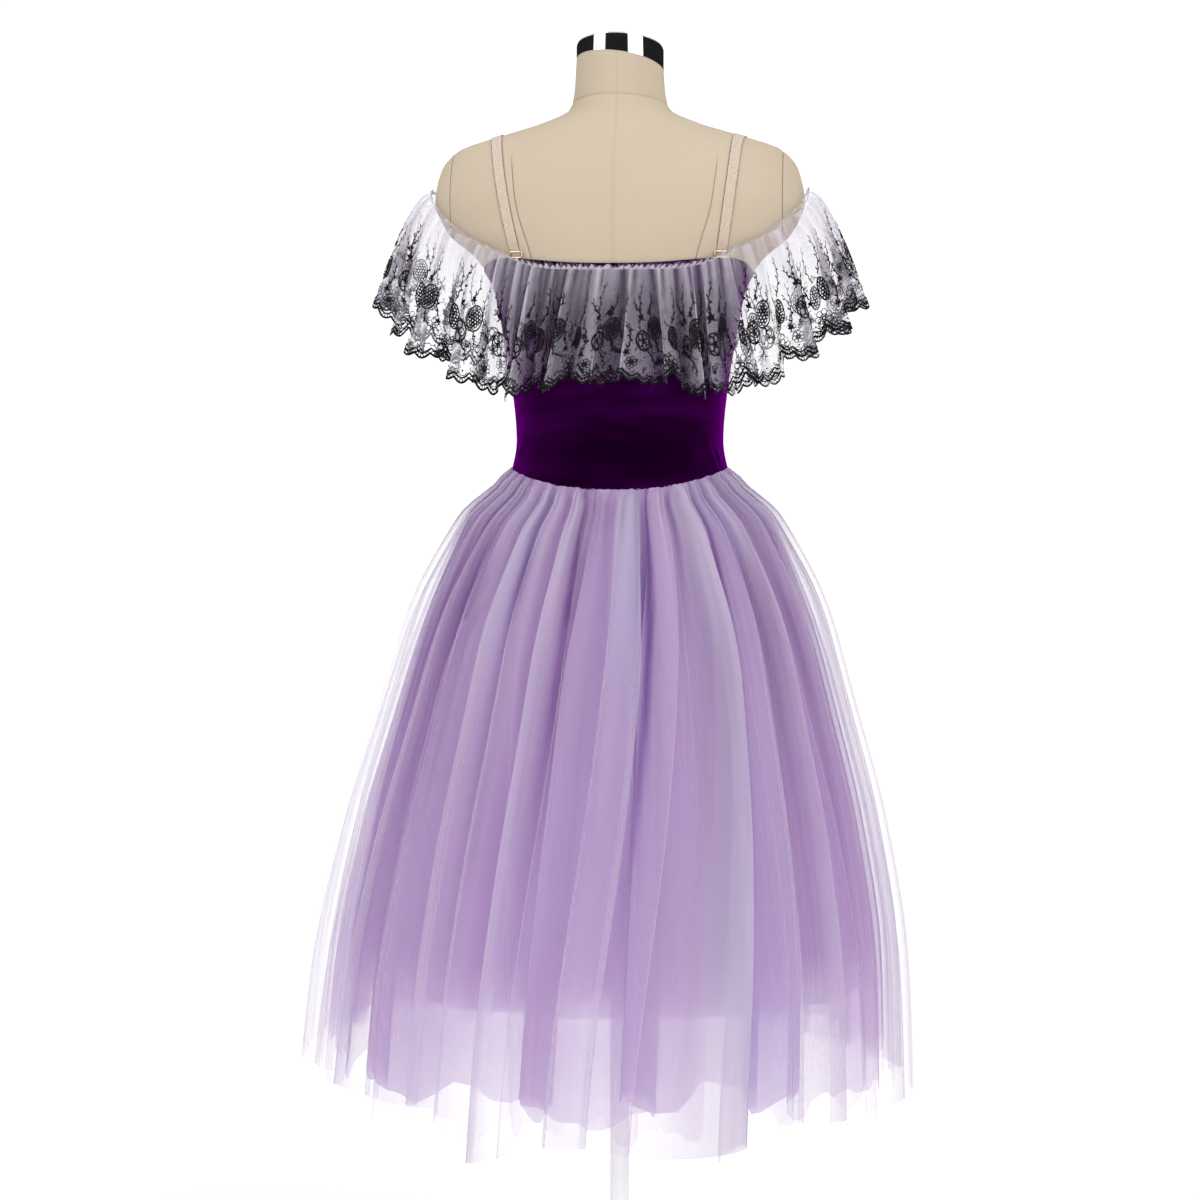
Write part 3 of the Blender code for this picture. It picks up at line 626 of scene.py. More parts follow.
def size_map(data, width, length):
    """Makes the UV map read in metres of flat cloth."""
    layer = data.uv_layers["cloth"].data
    flat = np.empty(len(layer) * 2, np.float32)
    layer.foreach_get("uv", flat)
    flat.reshape(-1, 2)[:] *= (width, length)
    layer.foreach_set("uv", flat)


def close_round(data):
    """Joins a tube's first column to its last."""
    mesh = bmesh.new()
    mesh.from_mesh(data)
    bmesh.ops.remove_doubles(mesh, verts=mesh.verts, dist=WELD)
    mesh.to_mesh(data)
    mesh.free()


def mesh_of(data):
    mesh = bmesh.new()
    mesh.from_mesh(data)
    bpy.data.meshes.remove(data)
    return mesh


def fill_ends(mesh):
    open_edges = [edge for edge in mesh.edges if edge.is_boundary]
    bmesh.ops.holes_fill(mesh, edges=open_edges, sides=0)
    bmesh.ops.recalc_face_normals(mesh, faces=mesh.faces)


def add_wall(piece, wall, side):
    """A wall for a sheet: side -1 inward, 0 both ways, 1 outward."""
    thicken = piece.modifiers.new("wall", "SOLIDIFY")
    thicken.thickness = wall
    thicken.offset = side
    thicken.use_even_offset = True


def soften(piece, width, segments):
    rounded = piece.modifiers.new("edges", "BEVEL")
    rounded.width = width
    rounded.segments = segments
    rounded.limit_method = "ANGLE"
    rounded.angle_limit = ROUNDED_ANGLE


# ---------------------------------------------------------------- materials
# In this section a value is a node together with the name of one of its outputs.
def make_material(name, **settings):
    """A new material and its shader. Each setting is named for one of the shader's sockets."""
    material = bpy.data.materials.new(name)
    material.use_nodes = True
    shader = material.node_tree.nodes["Principled BSDF"]
    for socket in shader.inputs:
        setting = socket.name.lower().replace(" ", "_")
        if setting in settings:
            socket.default_value = settings[setting]
    return material, shader


def node_of(material, kind, **values):
    """Adds a shader node. Names that match its sockets set them, and the rest its settings."""
    node = material.node_tree.nodes.new(kind)
    for name, value in values.items():
        socket = name.replace("_", " ").title()
        if socket in node.inputs:
            node.inputs[socket].default_value = value
        else:
            setattr(node, name, value)
    return node


def join(material, value, target, socket):
    source, output = value
    material.node_tree.links.new(source.outputs[output], target.inputs[socket])


def calculate(material, operation, *terms, clamp=False):
    """One step of arithmetic. Each term is a number or a value."""
    node = node_of(material, "ShaderNodeMath", operation=operation, use_clamp=clamp)
    for place, term in enumerate(terms):
        if isinstance(term, tuple):
            join(material, term, node, place)
        else:
            node.inputs[place].default_value = term
    return node, "Value"


def between(material, value, low, high, start=0.0, end=1.0, kind="SMOOTHSTEP"):
    """Where the value lies between low and high, as a number from start to end."""
    node = node_of(material, "ShaderNodeMapRange", interpolation_type=kind, from_min=low,
                   from_max=high, to_min=start, to_max=end)
    join(material, value, node, "Value")
    return node, "Result"


def attribute_of(material, name):
    return node_of(material, "ShaderNodeAttribute", attribute_name=name), "Fac"


def axes_of(material, coordinate):
    """A texture coordinate, split into its axes."""
    source = node_of(material, "ShaderNodeTexCoord")
    split = node_of(material, "ShaderNodeSeparateXYZ")
    join(material, (source, coordinate), split, "Vector")
    return split


def stretched_noise(material, coordinate, stretch, scale, detail=2.0):
    """Noise drawn out by the stretch, read from a texture coordinate."""
    source = node_of(material, "ShaderNodeTexCoord")
    mapping = node_of(material, "ShaderNodeMapping", scale=stretch)
    noise = node_of(material, "ShaderNodeTexNoise", scale=scale, detail=detail)
    join(material, (source, coordinate), mapping, "Vector")
    join(material, (mapping, "Vector"), noise, "Vector")
    return noise, "Fac"


def colours_by(material, value, stops, target, socket="Base Color"):
    """Colours read along a ramp: stops are place and colour."""
    ramp = node_of(material, "ShaderNodeValToRGB")
    elements = ramp.color_ramp.elements
    while len(elements) < len(stops):
        elements.new(0.5)
    for element, (place, colour) in zip(elements, stops):
        element.position = place
        element.color = (*colour, 1.0)
    join(material, value, ramp, "Fac")
    join(material, (ramp, "Color"), target, socket)


def add_bump(material, value, shader, strength, distance):
    bump = node_of(material, "ShaderNodeBump", strength=strength, distance=distance)
    join(material, value, bump, "Height")
    join(material, (bump, "Normal"), shader, "Normal")


def linen_material():
    """Beige linen: threads both ways, with slubs, over faint broad patches."""
    material, shader = make_material("beige linen", roughness=0.88, specular_ior_level=0.25)
    upright = stretched_noise(material, "Object", (1, 1, 0.10), LINEN_THREADS, 3.0)
    level = stretched_noise(material, "Object", (0.10, 0.10, 1), LINEN_THREADS, 3.0)
    broad = stretched_noise(material, "Object", EVEN, 5, 1.0)
    threads = calculate(material, "ADD", upright, level)
    tone = calculate(material, "MULTIPLY_ADD", threads, 0.42, broad)
    half = calculate(material, "MULTIPLY", tone, 0.55)
    beside_seam = calculate(material, "SUBTRACT", 1.0, attribute_of(material, "seam"))
    shade = calculate(material, "MULTIPLY", half, beside_seam)
    colours_by(material, shade, (
        (0.08, (0.105, 0.070, 0.045)), (0.30, (0.445, 0.368, 0.275)),
        (0.52, (0.475, 0.396, 0.300)), (0.75, (0.510, 0.430, 0.330)),
    ), shader)
    add_bump(material, threads, shader, 0.30, 0.0004)
    return material


def chrome_material():
    material, shader = make_material("bright chrome", metallic=1.0, roughness=0.045)
    haze = stretched_noise(material, "Object", EVEN, 60)
    colours_by(material, haze, ((0.3, (0.80, 0.80, 0.81)), (0.7, (0.88, 0.88, 0.89))), shader)
    return material


def white_metal_material():
    """White powder coat with a fine orange-peel surface."""
    material, shader = make_material("white powder coat", roughness=0.42)
    grain = stretched_noise(material, "Object", EVEN, 900)
    broad = stretched_noise(material, "Object", EVEN, 14)
    colours_by(material, broad, ((0.3, (0.86, 0.86, 0.87)), (0.7, (0.92, 0.92, 0.92))), shader)
    add_bump(material, grain, shader, 0.12, 0.0003)
    return material


def velvet_material():
    """Dark purple velvet: near black face on, with a violet bloom where the pile is seen aslant, and
    painted shade that dims the bloom higher up, under the lace.
    """
    material, shader = make_material("purple velvet", roughness=0.70, specular_ior_level=0.0,
                                     sheen_roughness=0.45, sheen_tint=VELVET_BLOOM)
    nap = stretched_noise(material, "Object", (0.45, 0.45, 1.7), 14, 2.0)
    pile = stretched_noise(material, "Object", EVEN, 2600, 2.0)
    colours_by(material, nap, (
        (0.36, (0.003, 0.0001, 0.003)), (0.52, (0.010, 0.0001, 0.012)), (0.72, (0.036, 0.0003, 0.052)),
    ), shader)
    add_bump(material, pile, shader, 0.35, 0.0005)
    # Painted shade: the sheen fades with height, in place of the shade under the lace.
    height = (axes_of(material, "Object"), "Z")
    lace_shade_to = VELVET_LACE_SHADE_FROM + VELVET_LACE_SHADE_FADE
    lace_shade = between(material, height, VELVET_LACE_SHADE_FROM, lace_shade_to, 1.0, VELVET_LACE_SHADE_SHEEN, "LINEAR")
    join(material, lace_shade, shader, "Sheen Weight")
    return material


def cloth_shader(material, shader, tone, stops, share):
    """Thin cloth with painted shade: deeper and darker in colour where its mesh's shade attribute is
    high. A share of its light comes through it.
    """
    deep = node_of(material, "ShaderNodeGamma")
    colours_by(material, tone, stops, deep, "Color")
    # Painted shade: the shade attribute raises the colour's gamma, which darkens it; below 0 it paints
    # light instead.
    gamma = calculate(material, "MULTIPLY_ADD", attribute_of(material, "shade"), SHADE_DEPTH, 1.0)
    join(material, gamma, deep, "Gamma")
    join(material, (deep, "Color"), shader, "Base Color")
    glow = node_of(material, "ShaderNodeBsdfTranslucent")
    join(material, (deep, "Color"), glow, "Color")
    lit = node_of(material, "ShaderNodeMixShader", fac=share)
    join(material, (shader, "BSDF"), lit, 1)
    join(material, (glow, "BSDF"), lit, 2)
    return lit, "Shader"


def crowded_cover(material, unevenness, sharpness, edge_crowding):
    """The share covered by thread: read from the mesh, and denser along the edge of each fold."""
    sweep = attribute_of(material, "sweep")
    square = calculate(material, "MULTIPLY", sweep, sweep)
    near = calculate(material, "MULTIPLY", square, -sharpness)
    line = calculate(material, "EXPONENT", near)
    layers = calculate(material, "MULTIPLY_ADD", line, edge_crowding, unevenness)
    open_share = calculate(material, "SUBTRACT", 1.0, attribute_of(material, "cover"))
    left_open = calculate(material, "POWER", open_share, layers)
    return calculate(material, "SUBTRACT", 1.0, left_open, clamp=True)


def see_through(material, cover, lit):
    """Lets what lies behind show wherever no thread covers it."""
    clear = node_of(material, "ShaderNodeBsdfTransparent")
    veil = node_of(material, "ShaderNodeMixShader")
    join(material, cover, veil, 0)
    join(material, (clear, "BSDF"), veil, 1)
    join(material, lit, veil, 2)
    join(material, (veil, "Shader"), material.node_tree.nodes["Material Output"], "Surface")


def tulle_material(name, stops, edge_crowding):
    """Soft net in long streaks and broad clouds of the colours in the stops, with painted shade
    darkening it in deep folds.
    """
    material, shader = make_material(name, roughness=0.75, specular_ior_level=0.15)
    streaks = stretched_noise(material, "UV", (1, 0.012, 1), 150, 3.0)
    clouds = stretched_noise(material, "UV", (1, 0.22, 1), 7, 2.0)
    broad = calculate(material, "MULTIPLY", clouds, 0.70)
    tone = calculate(material, "MULTIPLY_ADD", streaks, 0.30, broad)
    lit = cloth_shader(material, shader, tone, stops, TULLE_LIT_THROUGH)
    unevenness = calculate(material, "MULTIPLY_ADD", tone, 1.4, 0.30)
    cover = crowded_cover(material, unevenness, TULLE_EDGE_SHARPNESS, edge_crowding)
    see_through(material, cover, lit)
    return material


def net_material():
    """Sheer white net, whose lower half is worked over in patches with a fine black ground."""
    material, shader = make_material("sheer white net", roughness=0.7, specular_ior_level=0.15)
    source = node_of(material, "ShaderNodeTexCoord")
    cells = node_of(material, "ShaderNodeTexVoronoi", feature="DISTANCE_TO_EDGE", scale=GROUND_CELLS)
    join(material, (source, "UV"), cells, "Vector")
    down = (axes_of(material, "UV"), "Y")
    patches = stretched_noise(material, "UV", EVEN, 75, 3.0)
    lines = between(material, (cells, "Distance"), 0.22, 0.08)
    patchy = between(material, patches, 0.57, 0.70)
    low = between(material, down, *GROUND_FROM_TO)
    fine = calculate(material, "MULTIPLY", lines, patchy)
    ground = calculate(material, "MULTIPLY", fine, low)
    stops = ((0.01, (0.71, 0.67, 0.77)), (0.08, (0.010, 0.009, 0.013)))
    lit = cloth_shader(material, shader, ground, stops, NET_LIT_THROUGH)
    unevenness = calculate(material, "MULTIPLY_ADD", patches, 0.8, 0.6)
    thread = crowded_cover(material, unevenness, NET_EDGE_SHARPNESS, NET_EDGE_CROWDING)
    whole = calculate(material, "ADD", thread, ground, clamp=True)
    see_through(material, whole, lit)
    return material


def plain_net_material():
    """The same white net, drawn together so tightly that little shows through it."""
    material, shader = make_material("gathered white net", roughness=0.7, specular_ior_level=0.2)
    threads = stretched_noise(material, "Object", (1, 1, 0.3), 1400, 3.0)
    colours_by(material, threads, ((0.35, (0.46, 0.40, 0.50)), (0.60, (0.68, 0.63, 0.72))), shader)
    uneven_cover = calculate(material, "MULTIPLY_ADD", threads, 0.9, 0.5)
    cover = attribute_of(material, "cover")
    whole = calculate(material, "MULTIPLY", cover, uneven_cover, clamp=True)
    join(material, whole, shader, "Alpha")
    return material


def thread_material():
    """Black embroidery thread with a faint silky twist."""
    material, shader = make_material("black embroidery thread", roughness=0.60, specular_ior_level=0.06)
    twist = stretched_noise(material, "UV", (1, 0.3, 1), 2400, 2.0)
    colours_by(material, twist, (
        (0.35, (0.0025, 0.0020, 0.0035)), (0.70, (0.0075, 0.0065, 0.0095)),
    ), shader)
    add_bump(material, twist, shader, 0.5, 0.0003)
    return material


def elastic_material():
    """Nude strap elastic with fine cross ribs and a smooth middle, and painted shadow darkening it along
    both edges.
    """
    material, shader = make_material("nude elastic", roughness=0.62, sheen_weight=0.25)
    source = node_of(material, "ShaderNodeTexCoord")
    ribs = node_of(material, "ShaderNodeTexWave", scale=430, distortion=0.4, detail=1.0,
                   bands_direction="Y")
    join(material, (source, "UV"), ribs, "Vector")
    across = (axes_of(material, "UV"), "X")
    from_middle = calculate(material, "SUBTRACT", across, STRAP_WIDTH / 2)
    reach = calculate(material, "ABSOLUTE", from_middle)
    # Painted shadow: the elastic darkens along both edges, where it meets the form.
    edge = between(material, reach, 0.50 * STRAP_WIDTH, 0.40 * STRAP_WIDTH, kind="LINEAR")
    tone = stretched_noise(material, "UV", EVEN, 300, 2.0)
    shade = calculate(material, "MULTIPLY", tone, edge)
    colours_by(material, shade, (
        (0.10, (0.120, 0.075, 0.055)), (0.34, (0.465, 0.365, 0.290)), (0.70, (0.545, 0.440, 0.360)),
    ), shader)
    add_bump(material, (ribs, "Fac"), shader, 0.35, 0.0003)
    return material


def gold_material():
    material, shader = make_material("pale gold wire", metallic=1.0, roughness=0.22)
    wear = stretched_noise(material, "Object", EVEN, 500)
    colours_by(material, wear, ((0.3, (0.62, 0.45, 0.26)), (0.7, (0.80, 0.64, 0.42))), shader)
    return material


# ---------------------------------------------------------------- dress form
def princess_turn(level):
    """The turn at which the princess seams cross a level, away from the centre line."""
    x = curve_through(column(PRINCESS_SEAM, "level"), column(PRINCESS_SEAM, "x"), level)
    square = read_section("squareness", np.minimum(level, PRINCESS_END))
    reach = x / read_section("half_width", np.minimum(level, PRINCESS_END))
    return np.arcsin(np.clip(reach, 0, 0.999) ** (square / 2))


def panel_columns():
    """Each column's panel, its share across it, its offset in seam widths, and whether it is a seam."""
    inner = np.arange(1, COLUMNS_A_PANEL) / COLUMNS_A_PANEL
    one_shares = [0.0, 0.0, *inner, 1.0]
    one_beside = [0.0, 1.0, *([0.0] * len(inner)), -1.0]
    on_seam = [True] + [False] * (len(inner) + 2)
    panels = np.repeat(np.arange(PANELS), len(one_shares))
    return (np.append(panels, PANELS - 1), np.append(np.tile(one_shares, PANELS), 1.0),
            np.append(np.tile(one_beside, PANELS), 0.0), np.append(np.tile(on_seam, PANELS), True))


def form_levels():
    """The level of each row, from the top down, with close rows at the neck seam and the hip's edge."""
    rows = round((NECK_TOP - HIP_LEVEL) / FORM_ROW_HEIGHT)
    heights = np.linspace(HIP_LEVEL, NECK_TOP, rows + 1)
    seam_rows = NECK_SEAM + NECK_SEAM_HALF_WIDTH * np.array((-1, 0, 1))
    hip_rows = HIP_LEVEL + HIP_EDGE_ROUND * np.array((0.08, 0.2, 0.4, 0.7))
    clear = np.abs(heights - NECK_SEAM) > 1.5 * NECK_SEAM_HALF_WIDTH
    return np.sort(np.concatenate((heights[clear], seam_rows, hip_rows)))[::-1]


def seam_turns(level):
    """The turns of the form's seams at each level, from the centre back right round to it again."""
    princess = princess_turn(level)
    turns = []
    for half in (0.0, math.pi):
        middle, side = np.full_like(princess, half), np.full_like(princess, half + QUARTER_TURN)
        turns += [middle, half + princess, side, half + math.pi - princess]
    return np.stack((*turns, np.full_like(princess, FULL_TURN)))


def form_data():
    """The whole form as an open tube, with a shallow groove along each of its seams."""
    panels, shares, beside, seams = panel_columns()
    last = len(panels) - 1
    heights = form_levels()
    data = unit_grid(last, len(heights) - 1)
    grid = places_of(data)[:, :2] + 0.5
    index = np.rint(grid[:, 0] * last).astype(int)
    level = heights[np.rint(grid[:, 1] * (len(heights) - 1)).astype(int)]
    knots = seam_turns(level)
    panel = panels[index]
    everyone = np.arange(len(panel))
    low, high = knots[panel, everyone], knots[panel + 1, everyone]
    step = SEAM_HALF_WIDTH / read_section("half_width", level)
    offset = beside[index] * step
    turn = low + (high - low) * shares[index] + offset
    on_seam = seams[index]
    side_seam = (panel % 4 == 2) & (shares[index] < 0.5)
    fade = 1 - step_up(level, PRINCESS_END - PRINCESS_FADE, PRINCESS_END)
    centre = ((panel % 4 == 0) & (shares[index] < 0.5)) | (index == last)
    depth = SEAM_DEPTH * on_seam * np.where(centre, 1.0, fade) * ~side_seam
    tilt_window = np.exp(-((level - NECK_SEAM) / NECK_SEAM_REACH) ** 2)
    _, y, _, _ = form_ring(turn, level)
    at_neck = np.abs(level - NECK_SEAM) < WELD
    depth = np.maximum(depth, SEAM_DEPTH * at_neck)
    dark = np.where(at_neck, NECK_SEAM_DARK, np.where(centre, CENTRE_SEAM_DARK, SIDE_SEAM_DARK))
    level = level + NECK_SEAM_TILT * y * tilt_window
    over_edge = np.clip(1 - (level - HIP_LEVEL) / HIP_EDGE_ROUND, 0, 1)
    tuck = HIP_EDGE_ROUND * (1 - np.sqrt(1 - over_edge ** 2))
    x, y, _, _ = form_ring(turn, level, -depth - tuck)
    put_places(data, x, y, WAIST_HEIGHT + level + neck_plane(x, y, level))
    put_attribute(data, "seam", depth / SEAM_DEPTH * dark)
    close_round(data)
    return data


def cut_form(planes, keep_above):
    """The form cut at upright planes, with each cut closed and its edge rounded."""
    mesh = mesh_of(form_data())
    fill_ends(mesh)
    for plane, above in zip(planes, keep_above):
        everything = list(mesh.verts) + list(mesh.edges) + list(mesh.faces)
        cut = bmesh.ops.bisect_plane(
            mesh, geom=everything, dist=ARM_CAP_ROUND, plane_co=(plane, 0, 0),
            plane_no=(1, 0, 0), use_snap_center=True, clear_outer=not above, clear_inner=above)
        rim = [part for part in cut["geom_cut"] if isinstance(part, bmesh.types.BMEdge)]
        fill_ends(mesh)
        bmesh.ops.bevel(mesh, geom=rim, offset=ARM_CAP_ROUND, segments=3, profile=0.5,
                        affect="EDGES", material=-1, clamp_overlap=True)
    return mesh


def build_form(linen):
    torso = cut_form((ARM_CAP_PLANE, -ARM_CAP_PLANE), (False, True))
    finish("dress_form", torso, linen, ["form_torso"])
    for label, side in (("left", 1), ("right", -1)):
        cap = cut_form((side * (ARM_CAP_PLANE + SEAM_GAP),), (side > 0,))
        finish(f"arm_cap_{label}", cap, linen, [f"form_arm_cap_{label}"])


def build_neck_cap(chrome):
    """A metal cap that tips forward with the neck under it, and whose foot lies along the neck."""
    bends = np.linspace(0, QUARTER_TURN, CAP_EDGE_STEPS + 1)
    edge = [(1 - math.cos(bend), math.sin(bend)) for bend in bends]
    profile = [(0.0, 0.0, 0.0)] + [(1.0, CAP_EDGE * (1 - rise), CAP_EDGE * inset)
                                   for inset, rise in edge]
    rows = len(profile) - 1
    table = np.array(profile)[::-1]
    data = unit_grid(CAP_COLUMNS, rows)
    grid = places_of(data)[:, :2] + 0.5
    turn = grid[:, 0] * FULL_TURN
    top_share, below, inset = table[np.rint(grid[:, 1] * rows).astype(int)].T
    radius = CAP_RADIUS - inset
    x, y = radius * np.sin(turn), radius * np.cos(turn)
    foot = NECK_TOP + SEAM_GAP + neck_plane(x, y, NECK_TOP)
    top = CAP_TOP + y * math.tan(CAP_TILT) + x * math.tan(CAP_ROLL)
    put_places(data, x, y, WAIST_HEIGHT + foot + (top - below - foot) * top_share)
    close_round(data)
    mesh = mesh_of(data)
    fill_ends(mesh)
    cap = finish("neck_cap", mesh, chrome, ["form_neck_cap"])
    cap.data.set_sharp_from_angle(angle=CAP_CREASE)


# --------------------------------------------------------------------- stand
def turned(name, profile, material, node, round_edge):
    """A solid turned about the upright axis from a profile that starts and ends on it."""
    mesh = bmesh.new()
    verts = [mesh.verts.new((radius, 0, height)) for radius, height in profile]
    edges = [mesh.edges.new(pair) for pair in zip(verts, verts[1:])]
    bmesh.ops.spin(mesh, geom=verts + edges, cent=(0, 0, 0), axis=(0, 0, 1), dvec=(0, 0, 0),
                   angle=FULL_TURN, steps=STAND_COLUMNS, use_merge=True)
    bmesh.ops.remove_doubles(mesh, verts=mesh.verts, dist=WELD)
    bmesh.ops.recalc_face_normals(mesh, faces=mesh.faces)
    piece = finish(name, mesh, material, [node])
    soften(piece, round_edge, 3)
    piece.data.set_sharp_from_angle(angle=STAND_CREASE)


def build_stand(white_metal):
    socket = POLE_RADIUS + SEAM_GAP
    turned("round_base", (
        (0, 0), (BASE_RADIUS, 0), (BASE_RADIUS, BASE_EDGE), (BASE_RADIUS - BASE_RIM, BASE_RISE),
        (HUB_RADIUS + HUB_FLARE, BASE_RISE + HUB_FLARE_FOOT), (HUB_RADIUS, BASE_RISE + HUB_FLARE_TOP),
        (HUB_RADIUS, HUB_TOP), (socket, HUB_TOP), (socket, SOCKET_FLOOR), (0, SOCKET_FLOOR),
    ), white_metal, "stand_base", BASE_EDGE_ROUND)
    pole_top = WAIST_HEIGHT + HIP_LEVEL - SEAM_GAP
    turned("upright_pole", (
        (0, SOCKET_FLOOR + SEAM_GAP), (POLE_RADIUS, SOCKET_FLOOR + SEAM_GAP),
        (POLE_RADIUS, pole_top), (0, pole_top),
    ), white_metal, "stand_pole", POLE_EDGE_ROUND)


# -------------------------------------------------------------------- bodice
def bodice_top(turn):
    ends = np.where(np.cos(turn) > 0, BODICE_TOP_BACK, BODICE_TOP_FRONT)
    dip = (ends - BODICE_TOP_UNDERARM) * np.abs(np.sin(turn)) ** 6
    return ends - dip + BODICE_STRAP_RISE * np.sin(2 * turn) ** 2


def crease_height(turn, level):
    """How far the velvet's soft diagonal creases stand out."""
    height = np.zeros_like(turn)
    for crease in VELVET_CREASES:
        around = (turn - math.radians(crease.turn) + math.pi) % FULL_TURN - math.pi
        across, up = around * CREASE_RADIUS, level - crease.level
        slope = math.radians(crease.angle)
        along = across * math.cos(slope) + up * math.sin(slope)
        beside = up * math.cos(slope) - across * math.sin(slope)
        fade = (along / crease.length * 2) ** 2 + (beside / crease.width) ** 2
        height += crease.height * np.exp(-fade)
    return height


def build_bodice(velvet):
    """Two shaped panels that meet at the side seams."""
    half_gap = SEAM_GAP / 2 / read_section("half_width", BUST_LEVEL)
    for name, node, centre in (("velvet_back", "bodice_back", 0.0),
                               ("velvet_front", "bodice_front", math.pi)):
        data = unit_grid(BODICE_COLUMNS, BODICE_ROWS)
        grid = places_of(data)[:, :2] + 0.5
        turn = centre + (2 * grid[:, 0] - 1) * (QUARTER_TURN - half_gap)
        top, seam = bodice_top(turn), seam_level(turn)
        level = top + (seam - top) * grid[:, 1]
        x, y, _, _ = form_ring(turn, level, BODICE_CLEAR + crease_height(turn, level))
        put_places(data, x, y, WAIST_HEIGHT + level)
        size_map(data, *VELVET_CUT)
        piece = dress(name, data, velvet, [node])
        add_wall(piece, VELVET, 1.0)
        soften(piece, VELVET_EDGE_ROUND, 2)


# --------------------------------------------------------------------- skirt
def skirt_ring(turn, drop, inward):
    """A ring of the flared bell, drawn in by some length, over its seam-to-hem drop."""
    start_x, start_y, _, _ = form_ring(turn, seam_level(turn), SEAM_EDGE)
    half_width = read_flare("half_width", drop)
    half_depth = half_width * read_flare("depth_share", drop)
    blend = np.sin(QUARTER_TURN * np.clip(drop / (1.5 * SKIRT_FLARE[1].drop), 0, 1))
    bell_x, bell_y = half_width * np.sin(turn), half_depth * np.cos(turn)
    x = start_x + (bell_x - start_x) * blend
    y = start_y + (bell_y - start_y) * blend
    out_x, out_y = np.sin(turn), np.cos(turn) / np.maximum(half_depth / half_width, 0.1)
    length = np.hypot(out_x, out_y)
    lean = SKIRT_LEAN * np.clip(drop / SKIRT_LENGTH, 0, None) ** 1.5
    return x - inward * out_x / length + lean, y - inward * out_y / length


def tulle_hem(layer, turn):
    """The level of a layer's cut edge."""
    if layer.hem < 0:
        return layer.hem + layer.lift * np.sin(turn)
    around = (np.degrees(turn) + 180) % 360 - 180
    return curve_through(column(OUTER_HEM, "turn"), column(OUTER_HEM, "level"), around)


def crease_fade(drop, depth):
    """How much of a valley's painted shade is left at each drop: the deepest folds keep it longest."""
    reach = 0.16 + 0.50 * np.clip(depth - 0.5, 0, 0.7)
    return 1 - step_up(drop, 0.25 * reach, 1.15 * reach)


def valley_shade(turn, drop):
    """Painted shade: the dark laid on the inner cloth under the valleys of the outermost net."""
    shade = np.zeros_like(turn)
    settled = step_up(drop, 0.0, SKIRT_LENGTH)
    width = CREASE_WIDTH * (0.6 + step_up(drop, 0.0, 0.12))
    for fold in SKIRT_FOLDS:
        valley = np.radians(fold.top + (fold.hem - fold.top) * settled)
        off = (turn - valley + math.pi) % FULL_TURN - math.pi
        dark = CREASE_SHADE * np.clip(2.2 * (fold.depth - 0.6), 0, 1) * crease_fade(drop, fold.depth)
        shade = np.maximum(shade, dark * np.exp(-(off / width) ** 2))
    return shade


def ragged_hem(layer, folds, place, hem_turn):
    """The level of a layer's hem, uneven with its folds. An inner layer's also wanders in steps."""
    wander = np.tanh(5 * np.sin(23 * hem_turn + layer.turned))
    wander = wander + 0.8 * np.tanh(6 * np.sin(37 * hem_turn + 2 * layer.turned))
    wander = HEM_WANDER * (wander + 0.6 * np.tanh(5 * np.sin(61 * hem_turn))) * (layer.hem < 0)
    return tulle_hem(layer, hem_turn) - layer.ragged * fold_length(folds, place) + wander


def tulle_crowding(layer, veil, wave, hem_turn, drop, down):
    """How crowded a net is by its folds: denser on their crests and thinner in their valleys, which
    paints light on the crests and shade in the valleys, and thinner at its sides and hem.
    """
    crest = layer.valley + layer.crest * (0.5 + 0.5 * wave) ** 1.5
    crowding = veil ** VEIL_CONTRAST * crest
    crowding = crowding * (UPPER_COVER + HEM_COVER * step_up(drop, 0.30, 0.66))
    crowding = crowding * (1 - SIDE_THINNER * np.sin(hem_turn) ** 6 * step_up(drop, 0.02, 0.10))
    return crowding * (1 - HEM_THINNER * (layer.start > 0) * step_up(down, 0.86, 1.0))


